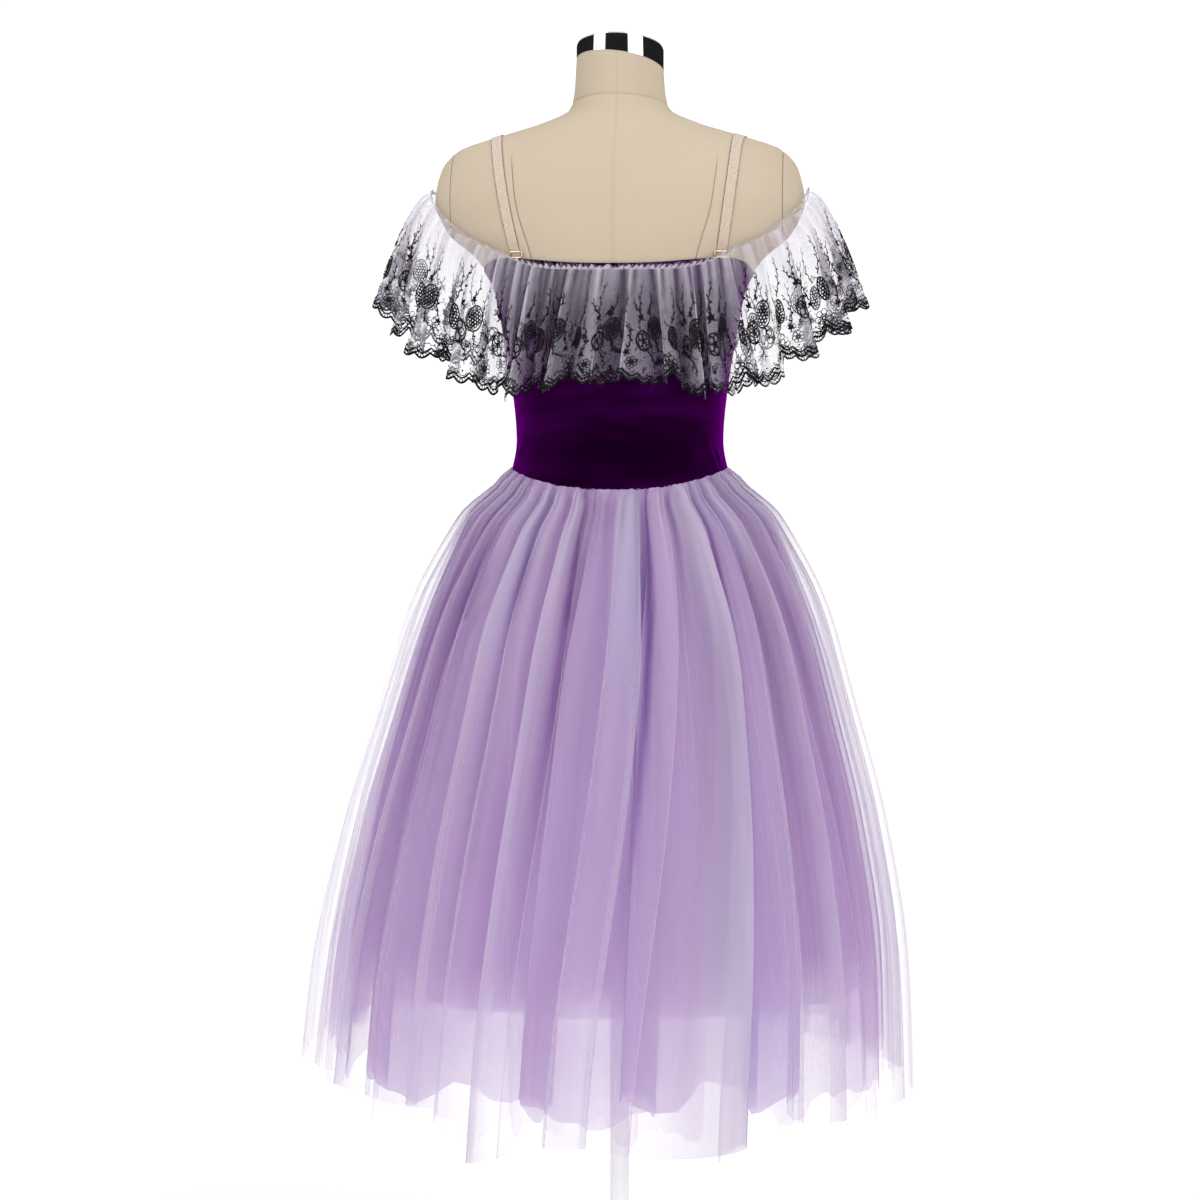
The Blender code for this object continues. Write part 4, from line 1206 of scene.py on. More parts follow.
def tulle_places(layer, folds, around, down):
    """Places over one net layer, how crowded its net is and how much painted shade it takes, and its
    sweep.
    """
    place = around * len(folds)
    seam_turn = around_folds(folds, "top", place)
    seam = seam_level(seam_turn)
    hem_turn = around_folds(folds, "hem", place)
    drop = (seam - ragged_hem(layer, folds, place, hem_turn)) * down
    grown = 0.35 * step_up(drop, 0, 0.012) + 0.65 * step_up(drop, 0.005, 0.22)
    turn, wave, sweep = folded(folds, place, step_up(drop, 0.0, SKIRT_LENGTH), grown)
    strength = around_folds(folds, "depth", place - 0.5)
    room = 2 * read_flare("fold_depth", drop) * strength
    inward = room * (layer.start + layer.share * (1 - wave) / 2)
    inward = inward + read_flare("layer_gap", drop) * (layer.start > 0)
    puff = np.exp(-((drop - PUFF_DROP) / PUFF_REACH) ** 2)
    inward = inward - SKIRT_PUFF * puff * (layer.start == 0)
    angle = FULL_TURN * place
    near_seam = np.exp(-(drop / GATHER_REACH) ** 2) * step_up(drop, 0, 0.008)
    fine = 1.6 + np.sin(3 * angle + 1.7 * np.sin(5 * seam_turn))
    fine = fine + 0.6 * np.sin(5 * angle + 2.3 * np.sin(8 * seam_turn))
    pleat = np.sin(3 * angle + 2.0 * np.sin(3 * seam_turn + layer.turned))
    inward = inward - layer.gather * near_seam * fine + PLEAT_DEPTH * pleat * step_up(drop, 0.05, 0.35)
    tuck = layer.tuck * (1 - step_up(drop, 0, SEAM_TUCK_DROP))
    x, y = skirt_ring(turn, drop, inward + tuck)
    jag = np.sin(2 * angle + 1.0) + 0.6 * np.sin(5 * angle)
    jag = SEAM_JAG * jag * (1 - step_up(drop, 0, 0.03))
    veil = around_folds(folds, "veil", place - 0.5)
    crowding = tulle_crowding(layer, veil, wave, hem_turn, drop, down)
    # Painted shade through density: the fine gathers by the seam are thinner, so darker, in their
    # hollows.
    crowding = crowding * (1 + GATHER_SHADE * (fine - 1.6) * near_seam) + 0.5 * near_seam
    # Painted shade in the valleys of the folds near the waist, and on the inner layers under the outer
    # net's valleys.
    shade = WAIST_SHADE * np.exp(-((1 + wave) / 0.30) ** 2) * strength
    shade = shade * step_up(drop, -0.01, 0.02) * crease_fade(drop, strength)
    if layer.start > 0:
        shade = np.maximum(shade, valley_shade(turn, drop))
    return x, y, WAIST_HEIGHT + seam - drop + jag, np.maximum(crowding, 0.1), shade, sweep


def gathered_cover(data, shape, cover, crowding):
    """The thread cover at each point: a net drawn together lies denser than it does at its hem."""
    places = places_of(data).reshape(*shape, 3)
    row_lengths = np.linalg.norm(np.diff(places, axis=1), axis=2).sum(axis=1)
    drawn_in = np.repeat(row_lengths[-1] / row_lengths, shape[1])
    return 1 - (1 - cover) ** (drawn_in * crowding)


def build_tulle(layer, material):
    folds = turned_folds(SKIRT_FOLDS[layer.first::layer.every], layer.turned, layer.mirror)
    columns = len(folds) * COLUMNS_A_FOLD
    shape = (TULLE_ROWS + 1, columns + 1)
    data = unit_grid(columns, TULLE_ROWS)
    grid = places_of(data)[:, :2] + 0.5
    x, y, z, crowding, shade, sweep = tulle_places(layer, folds, grid[:, 0], grid[:, 1])
    put_places(data, x, y, z)
    put_attribute(data, "cover", gathered_cover(data, shape, layer.cover, crowding))
    put_attribute(data, "shade", shade)
    put_attribute(data, "sweep", sweep)
    size_map(data, layer.cut_width, layer.cut_length)
    close_round(data)
    piece = dress(layer.name, data, material, [layer.node])


def build_lining(satin):
    data = unit_grid(LINING_COLUMNS, LINING_ROWS)
    grid = places_of(data)[:, :2] + 0.5
    turn = grid[:, 0] * FULL_TURN
    seam = seam_level(turn)
    drop = (seam - LINING_HEM - LINING_LIFT * np.sin(turn)) * grid[:, 1]
    ease = np.clip(drop / SKIRT_FLARE[2].drop, 0, 1)
    gap = read_flare("layer_gap", drop)
    tulle_room = DEEPEST_FOLD * 2 * read_flare("fold_depth", drop) + gap
    broad = UNEVEN_BROAD * np.sin(3 * turn + LINING_SHIFT)
    close = UNEVEN_CLOSE * np.sin(7 * turn + 2 * LINING_SHIFT)
    wave = np.sin(LINING_FOLDS * (turn + broad + close))
    own_room = SKIRT_FLARE[0].layer_gap + ease * (LINING_CLEAR - SKIRT_FLARE[0].layer_gap)
    inward = tulle_room + own_room + ease * LINING_FOLD_DEPTH * (1 - wave)
    tuck = LINING_TUCK * (1 - step_up(drop, 0, SEAM_TUCK_DROP))
    x, y = skirt_ring(turn, drop, inward + tuck)
    put_places(data, x, y, WAIST_HEIGHT + seam - drop)
    hem_share = step_up(grid[:, 1], 1 - LINING_SOFT_HEM, 1.0)
    put_attribute(data, "cover", LINING_COVER - LINING_THINNER * hem_share)
    put_attribute(data, "sweep", np.ones_like(drop))
    # Painted light: the lining is lightened towards its hem, as if lit through from below; painted shade
    # lies under the outer net's valleys.
    put_attribute(data, "shade", valley_shade(turn, drop) - LINING_HEM_PAINTED_LIGHT * hem_share)
    size_map(data, *LINING_CUT)
    close_round(data)
    piece = dress("skirt_under_lining", data, satin, ["skirt_lining"])


# -------------------------------------------------------------------- ruffle
def ruffle_top(turn):
    ends = np.where(np.cos(turn) > 0, RUFFLE_TOP_BACK, RUFFLE_TOP_FRONT)
    return ends + (RUFFLE_TOP_SHOULDER - ends) * np.sin(turn) ** 4


def ruffle_away():
    """From the form out to the middle of the lace wall, over the bodice."""
    return BODICE_CLEAR + VELVET + RUFFLE_CLEAR + LACE


def ruffle_folds():
    """The back's folds, and the same ones mirrored over the front."""
    return list(RUFFLE_FOLDS) + turned_folds(RUFFLE_FOLDS, 180, -1, span=180)


def ruffle_shape(around, share):
    """Places over the lace from its top to its hem, how crowded and shaded its net is, and its sweep."""
    folds = ruffle_folds()
    place = around * len(folds)
    grown = 0.30 + 0.70 * np.clip(share, 0, 1.2) ** 0.8
    turn, wave, sweep = folded(folds, place, share, grown)
    top = ruffle_top(turn)
    x, y, out_x, out_y = form_ring(turn, top, ruffle_away())
    depth = around_folds(folds, "depth", place - 0.5)
    corner = np.sin(2 * turn) ** 2
    drop = RUFFLE_DROP + RUFFLE_CORNER_DROP * corner + RUFFLE_RAGGED * fold_length(folds, place)
    pointed = np.clip((depth - 1.0) / 0.12, 0, 1) * np.exp(-10 * sweep ** 2)
    drop = drop + RUFFLE_POINT * pointed * np.clip(wave + 0.6, 0, 1)
    flare = RUFFLE_FLARE + RUFFLE_FLARE_SIDE * np.sin(turn) ** 2
    angle = FULL_TURN * place
    near_top = np.exp(-(share / 0.30) ** 2)
    fine = 1.6 + np.sin(2 * angle + 1.5 * np.sin(4 * turn))
    fine = fine + 0.6 * np.sin(4 * angle + 2 * np.sin(6 * turn))
    wave_depth = RUFFLE_WAVE_DEPTH * depth
    bow = 0.85 - 0.25 * np.sin(turn) ** 2
    away = flare * share ** bow + wave_depth * (wave * share + 0.16 * (1.2 + wave))
    away = away + RUFFLE_GATHER_DEPTH * near_top * fine
    z = WAIST_HEIGHT + top - drop * share
    places = np.stack((x + away * out_x, y + away * out_y, z), axis=-1)
    # Painted light and shade: the net is denser, so lighter, on its crests and thinner in its valleys,
    # and its fine gathers by the top do the same.
    crest = NET_VALLEY + NET_CREST * (0.5 + 0.5 * wave) ** 1.5
    crowding = around_folds(folds, "veil", place - 0.5) * crest
    crowding = crowding * (1 + GATHER_SHADE * (fine - 1.6) * near_top) + 0.15 * near_top
    crowding = crowding * (1 + WORKED_NET * step_up(share, 0.40, 0.75) * np.cos(turn) ** 4)
    # Painted shade in the deep valleys, where the net lies over the velvet.
    deep = np.clip(3.0 * (depth - 0.70), 0, 1) * np.exp(-((1 + wave) / 0.60) ** 2)
    shade = NET_SHADE * deep * np.cos(turn) ** 4
    return places, np.maximum(crowding, 0.1), shade, sweep


def lace_turns():
    """Flat distance along the lace against its place round the ruffle, and its whole flat length."""
    around = np.linspace(0, 1, LACE_MEASURES + 1)
    places = ruffle_shape(around, np.full_like(around, LACE_MEASURED_AT))[0]
    steps = np.linalg.norm(np.diff(places, axis=0), axis=1)
    along = np.concatenate(([0.0], np.cumsum(steps)))
    return around, along, along[-1]


def lace_shape(flat_x, flat_y):
    """The ruffle's shape under flat lace: flat_x runs round it and flat_y from its top to its hem."""
    around, along, whole = lace_turns()
    round_share = np.interp(flat_x % whole, along, around) + np.floor(flat_x / whole)
    return ruffle_shape(round_share, flat_y / LACE_LENGTH)


def lifted_lace(flat_x, flat_y, lift):
    """Places a little outside the ruffle, for thread that lies on it."""
    step = 1e-5
    here, ahead = lace_shape(flat_x, flat_y)[0], lace_shape(flat_x + step, flat_y)[0]
    below = lace_shape(flat_x, flat_y + step)[0]
    out = np.cross(ahead - here, below - here)
    return here + lift * out / np.maximum(np.linalg.norm(out, axis=1, keepdims=True), 1e-15)


def hem_line(flat_x, repeat):
    """The scalloped edge: large scallops, each made of small ones, with the cusps upward."""
    big = np.abs(np.sin(math.pi * flat_x / repeat))
    small = np.abs(np.sin(math.pi * flat_x / repeat * SMALL_SCALLOPS))
    return LACE_LENGTH - SCALLOP_BIG * (1 - big) - SCALLOP_SMALL * (1 - small)


def build_ruffle(net, whole, repeat):
    data = unit_grid(RUFFLE_COLUMNS, RUFFLE_ROWS)
    grid = places_of(data)[:, :2] + 0.5
    flat_x = grid[:, 0] * whole
    places, crowding, shade, sweep = lace_shape(flat_x, grid[:, 1] * hem_line(flat_x, repeat))
    put_places(data, *places.T)
    shape = (RUFFLE_ROWS + 1, RUFFLE_COLUMNS + 1)
    put_attribute(data, "cover", gathered_cover(data, shape, NET_COVER, crowding))
    put_attribute(data, "shade", shade)
    put_attribute(data, "sweep", sweep)
    size_map(data, whole, LACE_LENGTH)
    close_round(data)
    return dress("lace_ruffle", data, net, ["ruffle_lace"])


# ---------------------------------------------------------------- embroidery
def cord(mesh, path, width):
    """A flat cord of thread along a path on the flat lace, of one width or of one for each point."""
    path = np.asarray(path, float)
    heading = np.gradient(path, axis=0)
    if np.allclose(path[0], path[-1]):
        heading[0] = heading[-1] = path[1] - path[-2]
    heading /= np.linalg.norm(heading, axis=1, keepdims=True)
    left = np.stack((-heading[:, 1], heading[:, 0]), axis=1) * np.reshape(width, (-1, 1)) / 2
    edges = np.stack((path + left, path - left), axis=1).reshape(-1, 2)
    made = bmesh.ops.create_grid(mesh, x_segments=1, y_segments=len(path) - 1, size=0.5)
    for vert, place in zip(made["verts"], edges):
        vert.co = (*place, 0.0)


def bent_line(start, end, bend, steps):
    """Points from start to end, bowed to one side by a share of the distance."""
    share = np.linspace(0, 1, steps + 1)[:, None]
    start, end = np.array(start), np.array(end)
    along = end - start
    return start + along * share + np.array((-along[1], along[0])) * bend * np.sin(math.pi * share)


def leaf(mesh, start, end, width, bend, steps):
    share = np.linspace(0, 1, steps + 1)
    shape = np.sin(math.pi * share ** 0.8) * 0.92 + 0.08
    cord(mesh, bent_line(start, end, bend, steps), width * shape)


def ring(mesh, centre, radius, width, steps=10):
    angle = np.linspace(0, FULL_TURN, steps + 1)
    x, y = centre[0] + radius * np.cos(angle), centre[1] + radius * np.sin(angle)
    cord(mesh, np.stack((x, y), axis=1), width)


def turned_by(vector, angle):
    cosine, sine = math.cos(angle), math.sin(angle)
    return np.array((vector[0] * cosine - vector[1] * sine, vector[0] * sine + vector[1] * cosine))


def tendril(mesh, start, end, bend, leaves, leaf_length):
    """A wavering stem with thorn-like leaves on either side by turns."""
    path = bent_line(start, end, bend, 3 * leaves + 2)
    ahead = np.array(end) - np.array(start)
    ahead = ahead / np.linalg.norm(ahead)
    sway = STEM_SWAY * np.sin(1.9 * np.arange(len(path)))[:, None]
    path = path + sway * np.array((-ahead[1], ahead[0]))
    cord(mesh, path, np.linspace(THREAD_BOLD, THREAD_FINE, len(path)))
    for number in range(leaves):
        root = path[3 * number + 2]
        side = 1 - 2 * (number % 2)
        reach = leaf_length * (1 - 0.35 * number / leaves)
        tip = root + turned_by(ahead, side * LEAF_SPREAD) * reach
        leaf(mesh, root, tip, 0.42 * reach, side * 0.14, 4)


def fruit(mesh, centre, row):
    """An oval fruit: packed with small rings, or an outline round a few large loops."""
    tilt = math.radians(row.tilt)
    angle = np.linspace(0, FULL_TURN, 25)

    def oval(middle, half_width, half_height):
        across, along = middle[0] + half_width * np.cos(angle), middle[1] + half_height * np.sin(angle)
        return np.array([turned_by(point, tilt) + centre for point in zip(across, along)])

    cord(mesh, oval((0, 0), row.half_width, row.half_height), THREAD_BOLD)
    if row.packed:
        for level in np.arange(-5, 6):
            for step in np.arange(-5, 6):
                x, y = (step + 0.5 * (level % 2)) * FRUIT_PITCH, level * FRUIT_PITCH * 0.87
                if math.hypot(x / row.half_width, y / row.half_height) < 0.86:
                    ring(mesh, turned_by((x, y), tilt) + centre, FRUIT_RING, FRUIT_THREAD, 8)
    else:
        for turn in range(FRUIT_LOOPS):
            away = turn * FULL_TURN / FRUIT_LOOPS + 0.3
            middle = (0.52 * row.half_width * math.cos(away), 0.55 * row.half_height * math.sin(away))
            cord(mesh, oval(middle, 0.30 * row.half_width, 0.34 * row.half_height), THREAD_BOLD * 0.85)
        ring(mesh, centre, FRUIT_HEART, THREAD_BOLD * 0.9, 8)


def bud(mesh, centre, length, lean):
    """Three petals over two small leaves."""
    upright = turned_by((0.0, -1.0), math.radians(lean))
    for spread, share in ((-46, 0.85), (0, 1.0), (46, 0.85)):
        tip = centre + turned_by(upright, math.radians(spread)) * length * share
        leaf(mesh, centre, tip, 0.50 * length * share, 0.0, 6)
    for spread in (-115, 115):
        tip = centre + turned_by(upright, math.radians(spread)) * length * 0.8
        leaf(mesh, centre, tip, 0.26 * length, 0.1, 4)


def flower(mesh, centre, radius):
    """An open flower: round petals in outline, with a few fine rays and a ring in the middle."""
    centre = np.array(centre)
    for petal in range(FLOWER_PETALS):
        away = petal * FULL_TURN / FLOWER_PETALS
        to_petal = radius * np.array((math.cos(away), math.sin(away)))
        to_ray = radius * np.array((math.cos(away + 0.4), math.sin(away + 0.4)))
        ring(mesh, centre + 0.68 * to_petal, 0.30 * radius, THREAD_FINE, 9)
        ray = bent_line(centre + 0.24 * to_ray, centre + 0.52 * to_ray, 0.0, 2)
        cord(mesh, ray, THREAD_FINE)
    ring(mesh, centre, 0.20 * radius, THREAD_BOLD, 9)


def lace_border(mesh, repeat):
    """Two bold cords with a chain of rings between them, and an arc with a dot in each scallop."""
    flat_x = np.linspace(0, repeat, BORDER_STEPS + 1)
    edge = hem_line(flat_x, repeat)
    for inset, width in BORDER_CORDS:
        cord(mesh, np.stack((flat_x, edge - inset), axis=1), width)
    rings = round(repeat / RING_PITCH)
    for place in (np.arange(rings) + 0.5) * repeat / rings:
        ring(mesh, (place, float(hem_line(place, repeat)) - RING_INSET), RING_RADIUS, THREAD_FINE)
    pitch = repeat / SMALL_SCALLOPS
    for scallop in range(SMALL_SCALLOPS):
        middle = (scallop + 0.5) * pitch
        down = float(hem_line(middle, repeat))
        share = np.linspace(-1, 1, 9)
        arc_down = down - INNER_ARC + INNER_ARC_HEIGHT * (1 - share ** 2)
        dot_down = down - INNER_ARC - INNER_DOT_RISE
        cord(mesh, np.stack((middle + 0.36 * pitch * share, arc_down), axis=1), THREAD_FINE)
        bmesh.ops.create_circle(mesh, cap_ends=True, radius=INNER_DOT, segments=8,
                                matrix=Matrix.Translation((middle, dot_down, 0)))


def lace_motifs(mesh, repeat):
    """One repeat's fruits, buds, flowers and stems."""
    for row in FRUITS:
        fruit(mesh, np.array((row.share * repeat, row.down)), row)
    for row in BUDS:
        bud(mesh, np.array((row.share * repeat, row.down)), row.length, row.lean)
    for row in FLOWERS:
        flower(mesh, (row.share * repeat, row.down), row.radius)
    for row in STEMS:
        start, end = (row.share * repeat, row.down), (row.tip_share * repeat, row.tip_down)
        tendril(mesh, start, end, row.bend, row.leaves, row.leaf_length)


def lace_ground(mesh, repeat):
    """The worked ground: fine wavering threads and small specks, thickest near the edge."""
    dice = random.Random(GROUND_SEED)
    for _ in range(GROUND_THREADS):
        place = dice.uniform(0, repeat)
        down = LACE_LENGTH - GROUND_THREAD_EDGE - GROUND_THREAD_REACH * dice.random() ** 1.3
        share = np.linspace(0, 1, 7)
        angle, length = dice.uniform(0, math.pi), dice.uniform(*GROUND_THREAD_LENGTH)
        sway, phase = dice.uniform(*GROUND_THREAD_SWAY), dice.uniform(0, FULL_TURN)
        along, across = length * (share - 0.5), sway * np.sin(9 * share + phase)
        x = place + along * math.cos(angle) - across * math.sin(angle)
        y = down + along * math.sin(angle) + across * math.cos(angle)
        y = np.minimum(y, LACE_LENGTH - GROUND_THREAD_CLEAR)
        cord(mesh, np.stack((x, y), axis=1), THREAD_FINE)
    for _ in range(GROUND_SPECKS):
        down = LACE_LENGTH - GROUND_SPECK_EDGE - GROUND_SPECK_REACH * dice.random() ** 1.5
        radius = dice.uniform(*GROUND_SPECK_RADIUS)
        bmesh.ops.create_circle(mesh, cap_ends=True, radius=radius, segments=5,
                                matrix=Matrix.Translation((dice.uniform(0, repeat), down, 0)))


def build_embroidery(name, work, thread, whole, repeat):
    """Works one repeat flat, lays it round the whole length, and drapes it over the ruffle."""
    one = bmesh.new()
    one.loops.layers.uv.new("cloth")
    work(one, repeat)
    bmesh.ops.recalc_face_normals(one, faces=one.faces)
    down_facing = [face for face in one.faces if face.normal.z < 0]
    bmesh.ops.reverse_faces(one, faces=down_facing)
    repeats = round(whole / repeat)
    data = bpy.data.meshes.new(name)
    one.to_mesh(data)
    one.free()
    each = len(data.vertices)
    lace = bmesh.new()
    for _ in range(repeats):
        lace.from_mesh(data)
    lace.to_mesh(data)
    lace.free()
    flat = places_of(data)
    flat[:, 0] += repeat * (np.arange(len(flat)) // each)
    uv = data.uv_layers["cloth"].data
    corner = np.empty(len(uv), np.int32)
    data.loops.foreach_get("vertex_index", corner)
    uv.foreach_set("uv", flat[corner][:, :2].astype(np.float32).ravel())
    put_places(data, *lifted_lace(flat[:, 0], flat[:, 1], THREAD_LIFT).T)
    return dress(name, data, thread, ())


def build_heading(net):
    """The tightly gathered heading over the ruffle's top edge, with its frayed upper edge."""
    data = unit_grid(HEADING_COLUMNS, HEADING_ROWS)
    grid = places_of(data)[:, :2] + 0.5
    turn, down = grid[:, 0] * FULL_TURN, grid[:, 1]
    jag = HEADING_JAG * np.sin(HEADING_LOOPS * turn + 6 * np.sin(7 * turn))
    jag = jag + HEADING_JAG_FINE * np.sin(97 * turn + 2 * np.sin(11 * turn))
    level = ruffle_top(turn) + HEADING_LIFT + HEADING_HEIGHT * (1 - down) + jag * (1 - down)
    gathers = 1 + np.sin(HEADING_GATHERS * turn + 4 * np.sin(13 * turn))
    gathers = gathers * (0.35 + 0.65 * (1 - down))
    gathers = gathers + 0.5 * (1 + np.sin(67 * turn + 3 * np.sin(9 * turn))) * (1 - down)
    x, y, _, _ = form_ring(turn, level, ruffle_away() + HEADING_DEPTH * gathers)
    put_places(data, x, y, WAIST_HEIGHT + level)
    size_map(data, HEADING_CUT, HEADING_SHOWN)
    close_round(data)
    loops = np.abs(np.sin(HEADING_LOOPS * turn / 2 + 3 * np.sin(7 * turn))) ** 0.7
    put_attribute(data, "cover", HEADING_COVER * np.clip(0.25 + loops, 0, 1))
    return dress("ruffle_gathered_heading", data, net, ["ruffle_heading"])


def build_frayed_threads(net):
    """Loose thread ends that stand up from the heading's raw edge."""
    dice = random.Random(FRAY_SEED)
    mesh = bmesh.new()
    mesh.loops.layers.uv.new("cloth")
    for number in range(FRAY_THREADS):
        turn = np.float64((number + dice.random()) * FULL_TURN / FRAY_THREADS)
        foot = ruffle_top(turn) + HEADING_LIFT + HEADING_HEIGHT * FRAY_FOOT
        x, y, out_x, out_y = form_ring(turn, foot, ruffle_away() + HEADING_DEPTH)
        length, width = dice.uniform(*FRAY_LENGTH), dice.uniform(*FRAY_WIDTH)
        lean, stand = dice.uniform(*FRAY_LEAN), dice.uniform(*FRAY_STAND)
        made = bmesh.ops.create_grid(mesh, x_segments=1, y_segments=FRAY_STEPS, size=0.5)
        for place, vert in enumerate(made["verts"]):
            share = place // 2 / FRAY_STEPS
            across = (place % 2 - 0.5) * width * (1 - 0.5 * share) + lean * share ** 2
            away = stand * share
            vert.co = (x + out_y * across + out_x * away, y - out_x * across + out_y * away,
                       WAIST_HEIGHT + foot + length * share)
    data = bpy.data.meshes.new("frayed_threads")
    mesh.to_mesh(data)
    mesh.free()
    put_attribute(data, "cover", np.full(len(data.vertices), HEADING_COVER))
    return dress("frayed_threads", data, net, ())


# -------------------------------------------------------------------- straps
def outside_form(x, y, level):
    """Above 0 outside the form's surface and below 0 inside it."""
    front = read_section("front", level) + bust_proud(x, level)
    depth = np.where(y > 0, read_section("back", level), front)
    square = read_section("squareness", level)
    half_width = read_section("half_width", level)
    return (np.abs(x) / half_width) ** square + (np.abs(y) / depth) ** square - 1


def over_shoulder(x, angle, away):
    """A point off the form beside x, on a ray that leaves the strap's centre at an angle."""
    across, up = np.cos(angle), np.sin(angle)
    near, far = np.zeros_like(angle), np.full_like(angle, STRAP_REACH)
    for _ in range(40):
        middle = (near + far) / 2
        inside = outside_form(x, middle * across, STRAP_CENTRE + middle * up) < 0
        near, far = np.where(inside, middle, near), np.where(inside, far, middle)
    y, level = near * across, STRAP_CENTRE + near * up
    step = 1e-4
    slope = np.stack([
        outside_form(x + step, y, level) - outside_form(x - step, y, level),
        outside_form(x, y + step, level) - outside_form(x, y - step, level),
        outside_form(x, y, level + step) - outside_form(x, y, level - step),
    ])
    out = slope / np.linalg.norm(slope, axis=0)
    return x + away * out[0], y + away * out[1], WAIST_HEIGHT + level + away * out[2]


def angle_at(x, level, back):
    """The angle whose ray meets the form at a level, at the back or at the front."""
    depth = read_section("back", level)
    if not back:
        depth = read_section("front", level) + bust_proud(x, level)
    square = read_section("squareness", level)
    reach = (1 - (abs(x) / read_section("half_width", level)) ** square) ** (1 / square)
    y = depth * reach
    return math.atan2(level - STRAP_CENTRE, y if back else -y) % FULL_TURN


def slider_level():
    foot = float(bodice_top(STRAP_FOOT_TURN))
    return foot + SEAM_GAP + SLIDER_WIRE + SLIDER_HEIGHT / 2


def build_strap(strap, elastic):
    """A ribbed elastic strap that passes behind its slider and down to the bodice's top edge."""
    low_back = float(bodice_top(STRAP_FOOT_TURN)) + SEAM_GAP
    low_front = BODICE_TOP_FRONT + BODICE_STRAP_RISE + SEAM_GAP
    start = angle_at(strap.back_x, low_back, back=True)
    end = angle_at(strap.front_x, low_front, back=False)
    behind_end = angle_at(strap.back_x, slider_level() + SLIDER_HEIGHT, back=True)
    data = unit_grid(STRAP_COLUMNS, STRAP_ROWS)
    grid = places_of(data)[:, :2] + 0.5
    across, along = grid[:, 0], grid[:, 1]
    angle = start + (end - start) * along
    path = curve_through((0, 0.5, 1), (strap.back_x, strap.shoulder_x, strap.front_x), along)
    x = strap.side * path + strap.side * (across - 0.5) * STRAP_WIDTH
    behind = 1 - step_up(angle, behind_end, behind_end + STRAP_RELEASE)
    edge = np.abs(2 * across - 1) ** 8
    away = STRAP_CLEAR * (1 - STRAP_PRESSED * behind) - STRAP_EDGE_THINNER * edge
    put_places(data, *over_shoulder(x, angle, away))
    size_map(data, STRAP_WIDTH, STRAP_LENGTH)
    piece = dress(f"elastic_strap_{strap.label}", data, elastic, [f"strap_{strap.label}"])
    add_wall(piece, STRAP_CLOTH, strap.side)
    soften(piece, STRAP_EDGE_ROUND, 2)


def build_slider(strap, gold):
    """A rounded rectangle of wire that the strap's elastic passes behind."""
    quarter = np.linspace(0, QUARTER_TURN, SLIDER_CORNER_POINTS)
    across, up = [], []
    for corner, (sign_x, sign_z) in enumerate(((1, 1), (-1, 1), (-1, -1), (1, -1))):
        angle = quarter + corner * QUARTER_TURN
        across.append(sign_x * (SLIDER_WIDTH / 2 - SLIDER_CORNER) + SLIDER_CORNER * np.cos(angle))
        up.append(sign_z * (SLIDER_HEIGHT / 2 - SLIDER_CORNER) + SLIDER_CORNER * np.sin(angle))
    x = strap.side * strap.back_x + np.concatenate(across)
    levels = slider_level() + np.concatenate(up)
    angles = np.array([angle_at(*place, back=True) for place in zip(x, levels)])
    places = np.stack(over_shoulder(x, angles, STRAP_CLEAR + SLIDER_WIRE), axis=-1)
    name = f"gold_slider_{strap.label}"
    wire = bpy.data.curves.new(name, "CURVE")
    wire.dimensions = "3D"
    wire.bevel_depth = SLIDER_WIRE
    wire.bevel_resolution = 4
    loop = wire.splines.new("POLY")
    loop.points.add(len(places) - 1)
    for point, place in zip(loop.points, places):
        point.co = (*place, 1.0)
    loop.use_cyclic_u = True
    loop.use_smooth = True
    wire.materials.append(gold)
    piece = bpy.data.objects.new(name, wire)
    bpy.context.scene.collection.objects.link(piece)
    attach(piece, "root")
    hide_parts(f"strap_slider_{strap.label}")


# ------------------------------------------------------ floor, light, camera
def build_floor():
    mesh = bmesh.new()
    bmesh.ops.create_circle(mesh, cap_ends=True, radius=FLOOR_RADIUS, segments=128,
                            matrix=Matrix.Translation((0, 0, -FLOOR_DROP)))
    data = bpy.data.meshes.new("studio_floor")
    mesh.to_mesh(data)
    mesh.free()
    material, shader = make_material("pale studio floor", roughness=0.9, specular_ior_level=0.0,
                                     emission_strength=FLOOR_GLOW, emission_color=(1, 1, 1, 1))
    soft = stretched_noise(material, "Object", EVEN, 0.6)
    colours_by(material, soft, ((0.3, (0.90, 0.90, 0.90)), (0.7, (0.92, 0.92, 0.92))), shader)
    data.materials.append(material)
    floor = bpy.data.objects.new("studio_floor", data)
    bpy.context.scene.collection.objects.link(floor)


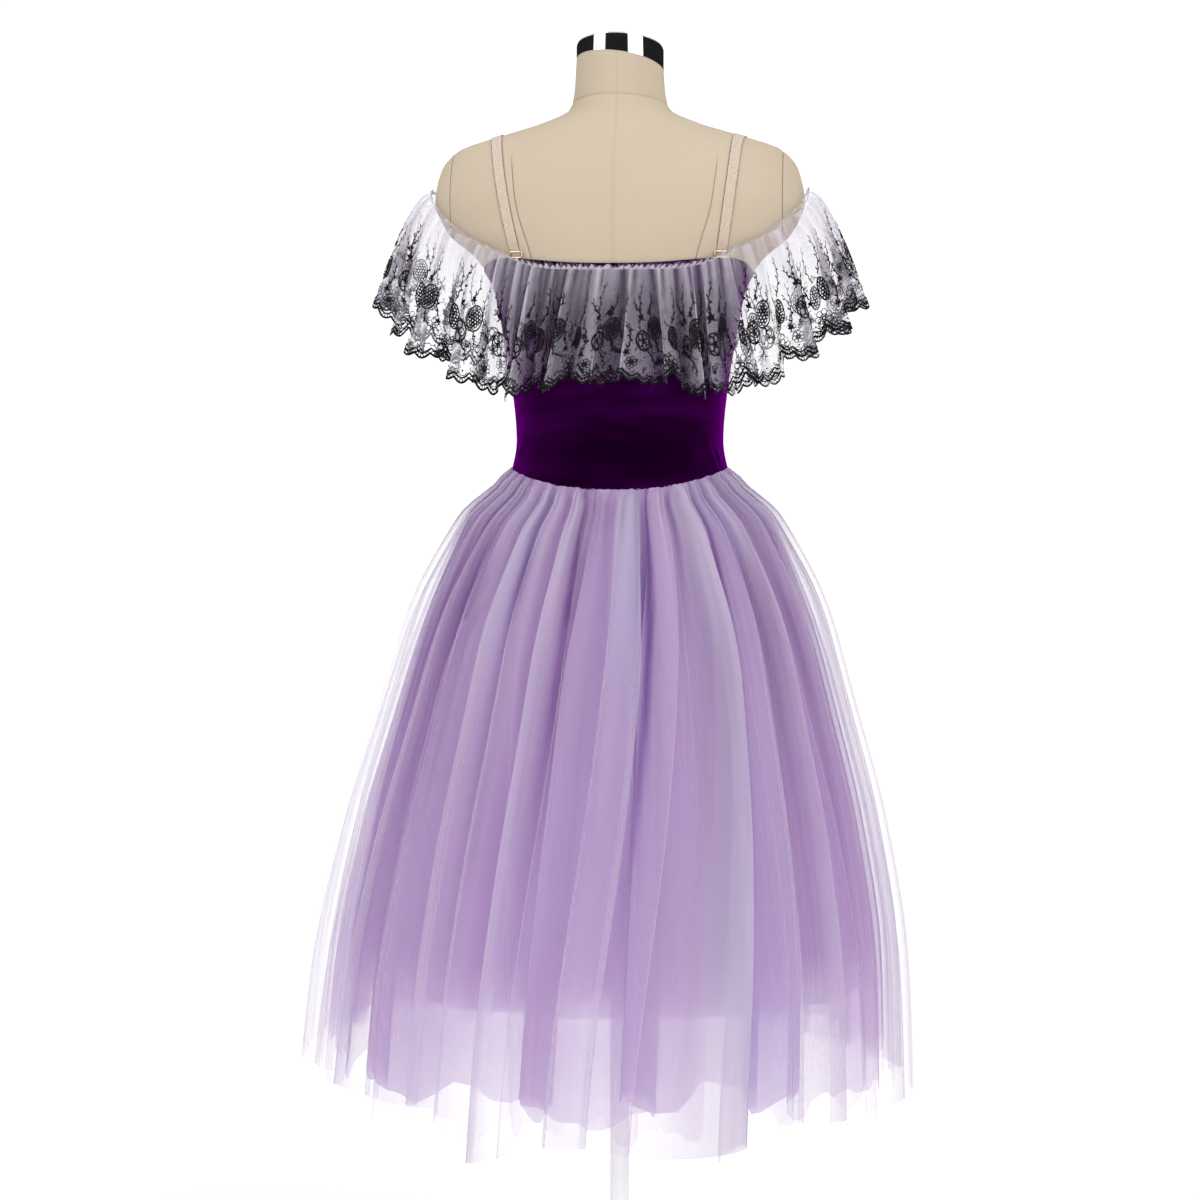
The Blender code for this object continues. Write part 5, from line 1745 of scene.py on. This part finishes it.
def light_room():
    """Two tall soft boxes behind the camera, and soft light from overhead, in a dark room.

    The camera alone sees the walls as white.
    """
    world = bpy.data.worlds.new("studio")
    bpy.context.scene.world = world
    world.use_nodes = True
    world.node_tree.nodes.clear()
    way = axes_of(world, "Generated")
    height = (way, "Z")
    azimuth = calculate(world, "ARCTAN2", (way, "X"), (way, "Y"))
    boxes = []
    for centre, half_width in SOFT_BOXES:
        off = calculate(world, "SUBTRACT", azimuth, math.radians(centre))
        size = calculate(world, "ABSOLUTE", off)
        dark_from = math.radians(half_width + SOFT_BOX_EDGE)
        bright_to = math.radians(half_width - SOFT_BOX_EDGE)
        boxes.append(between(world, size, dark_from, bright_to))
    both = calculate(world, "MAXIMUM", *boxes)
    low = between(world, height, SOFT_BOX_FOOT - SOFT_BOX_FADE, SOFT_BOX_FOOT + SOFT_BOX_FADE)
    high = between(world, height, SOFT_BOX_HEAD + SOFT_BOX_FADE, SOFT_BOX_HEAD - SOFT_BOX_FADE)
    window = calculate(world, "MULTIPLY", low, high)
    shaped = calculate(world, "MULTIPLY", both, window)
    bright = calculate(world, "MULTIPLY", shaped, SOFT_BOX_STRENGTH)
    overhead = between(world, height, *OVERHEAD_FROM_TO, 0.0, OVERHEAD_STRENGTH)
    walls = calculate(world, "ADD", overhead, WALL_STRENGTH)
    total = calculate(world, "ADD", bright, walls)
    seen = node_of(world, "ShaderNodeLightPath")
    strength = node_of(world, "ShaderNodeMix")
    join(world, (seen, "Is Camera Ray"), strength, 0)
    join(world, total, strength, 2)
    strength.inputs[3].default_value = WALL_SEEN
    background = node_of(world, "ShaderNodeBackground", color=(1, 1, 1, 1))
    output = node_of(world, "ShaderNodeOutputWorld")
    join(world, (strength, 0), background, "Strength")
    join(world, (background, "Background"), output, "Surface")


def place_camera():
    camera = bpy.data.objects.new("camera", bpy.data.cameras.new("camera"))
    bpy.context.scene.collection.objects.link(camera)
    camera.location = CAMERA_PLACE
    towards = Vector(CAMERA_TARGET) - Vector(CAMERA_PLACE)
    camera.rotation_euler = towards.to_track_quat("-Z", "Y").to_euler()
    camera.data.lens = CAMERA_LENS
    camera.data.sensor_width = CAMERA_SENSOR
    bpy.context.scene.camera = camera


def main():
    build_form(linen_material())
    build_neck_cap(chrome_material())
    build_stand(white_metal_material())
    build_bodice(velvet_material())
    outer = tulle_material("white-lilac tulle", WHITE_LILAC, OUTER_EDGE_CROWDING)
    middle = tulle_material("lilac tulle", LILAC, MIDDLE_EDGE_CROWDING)
    satin = tulle_material("lilac lining", DEEP_LILAC, LINING_EDGE_CROWDING)
    for layer, tulle in zip(TULLE_LAYERS, (outer, middle, middle)):
        build_tulle(layer, tulle)
    build_lining(satin)
    whole = lace_turns()[2]
    repeat = whole / round(whole / LACE_REPEAT)
    net = net_material()
    thread = thread_material()
    ruffle = build_ruffle(net, whole, repeat)
    works = (("lace_border", lace_border), ("lace_flowers", lace_motifs), ("lace_ground", lace_ground))
    worked = [build_embroidery(name, work, thread, whole, repeat) for name, work in works]
    raw_edge = plain_net_material()
    heading = build_heading(raw_edge)
    frayed = build_frayed_threads(raw_edge)
    elastic, gold = elastic_material(), gold_material()
    for strap in STRAPS:
        build_strap(strap, elastic)
        build_slider(strap, gold)
    build_floor()
    light_room()
    place_camera()
    bpy.context.scene.view_settings.view_transform = "Standard"
    bpy.context.scene.cycles.transparent_max_bounces = CLEAR_BOUNCES


main()
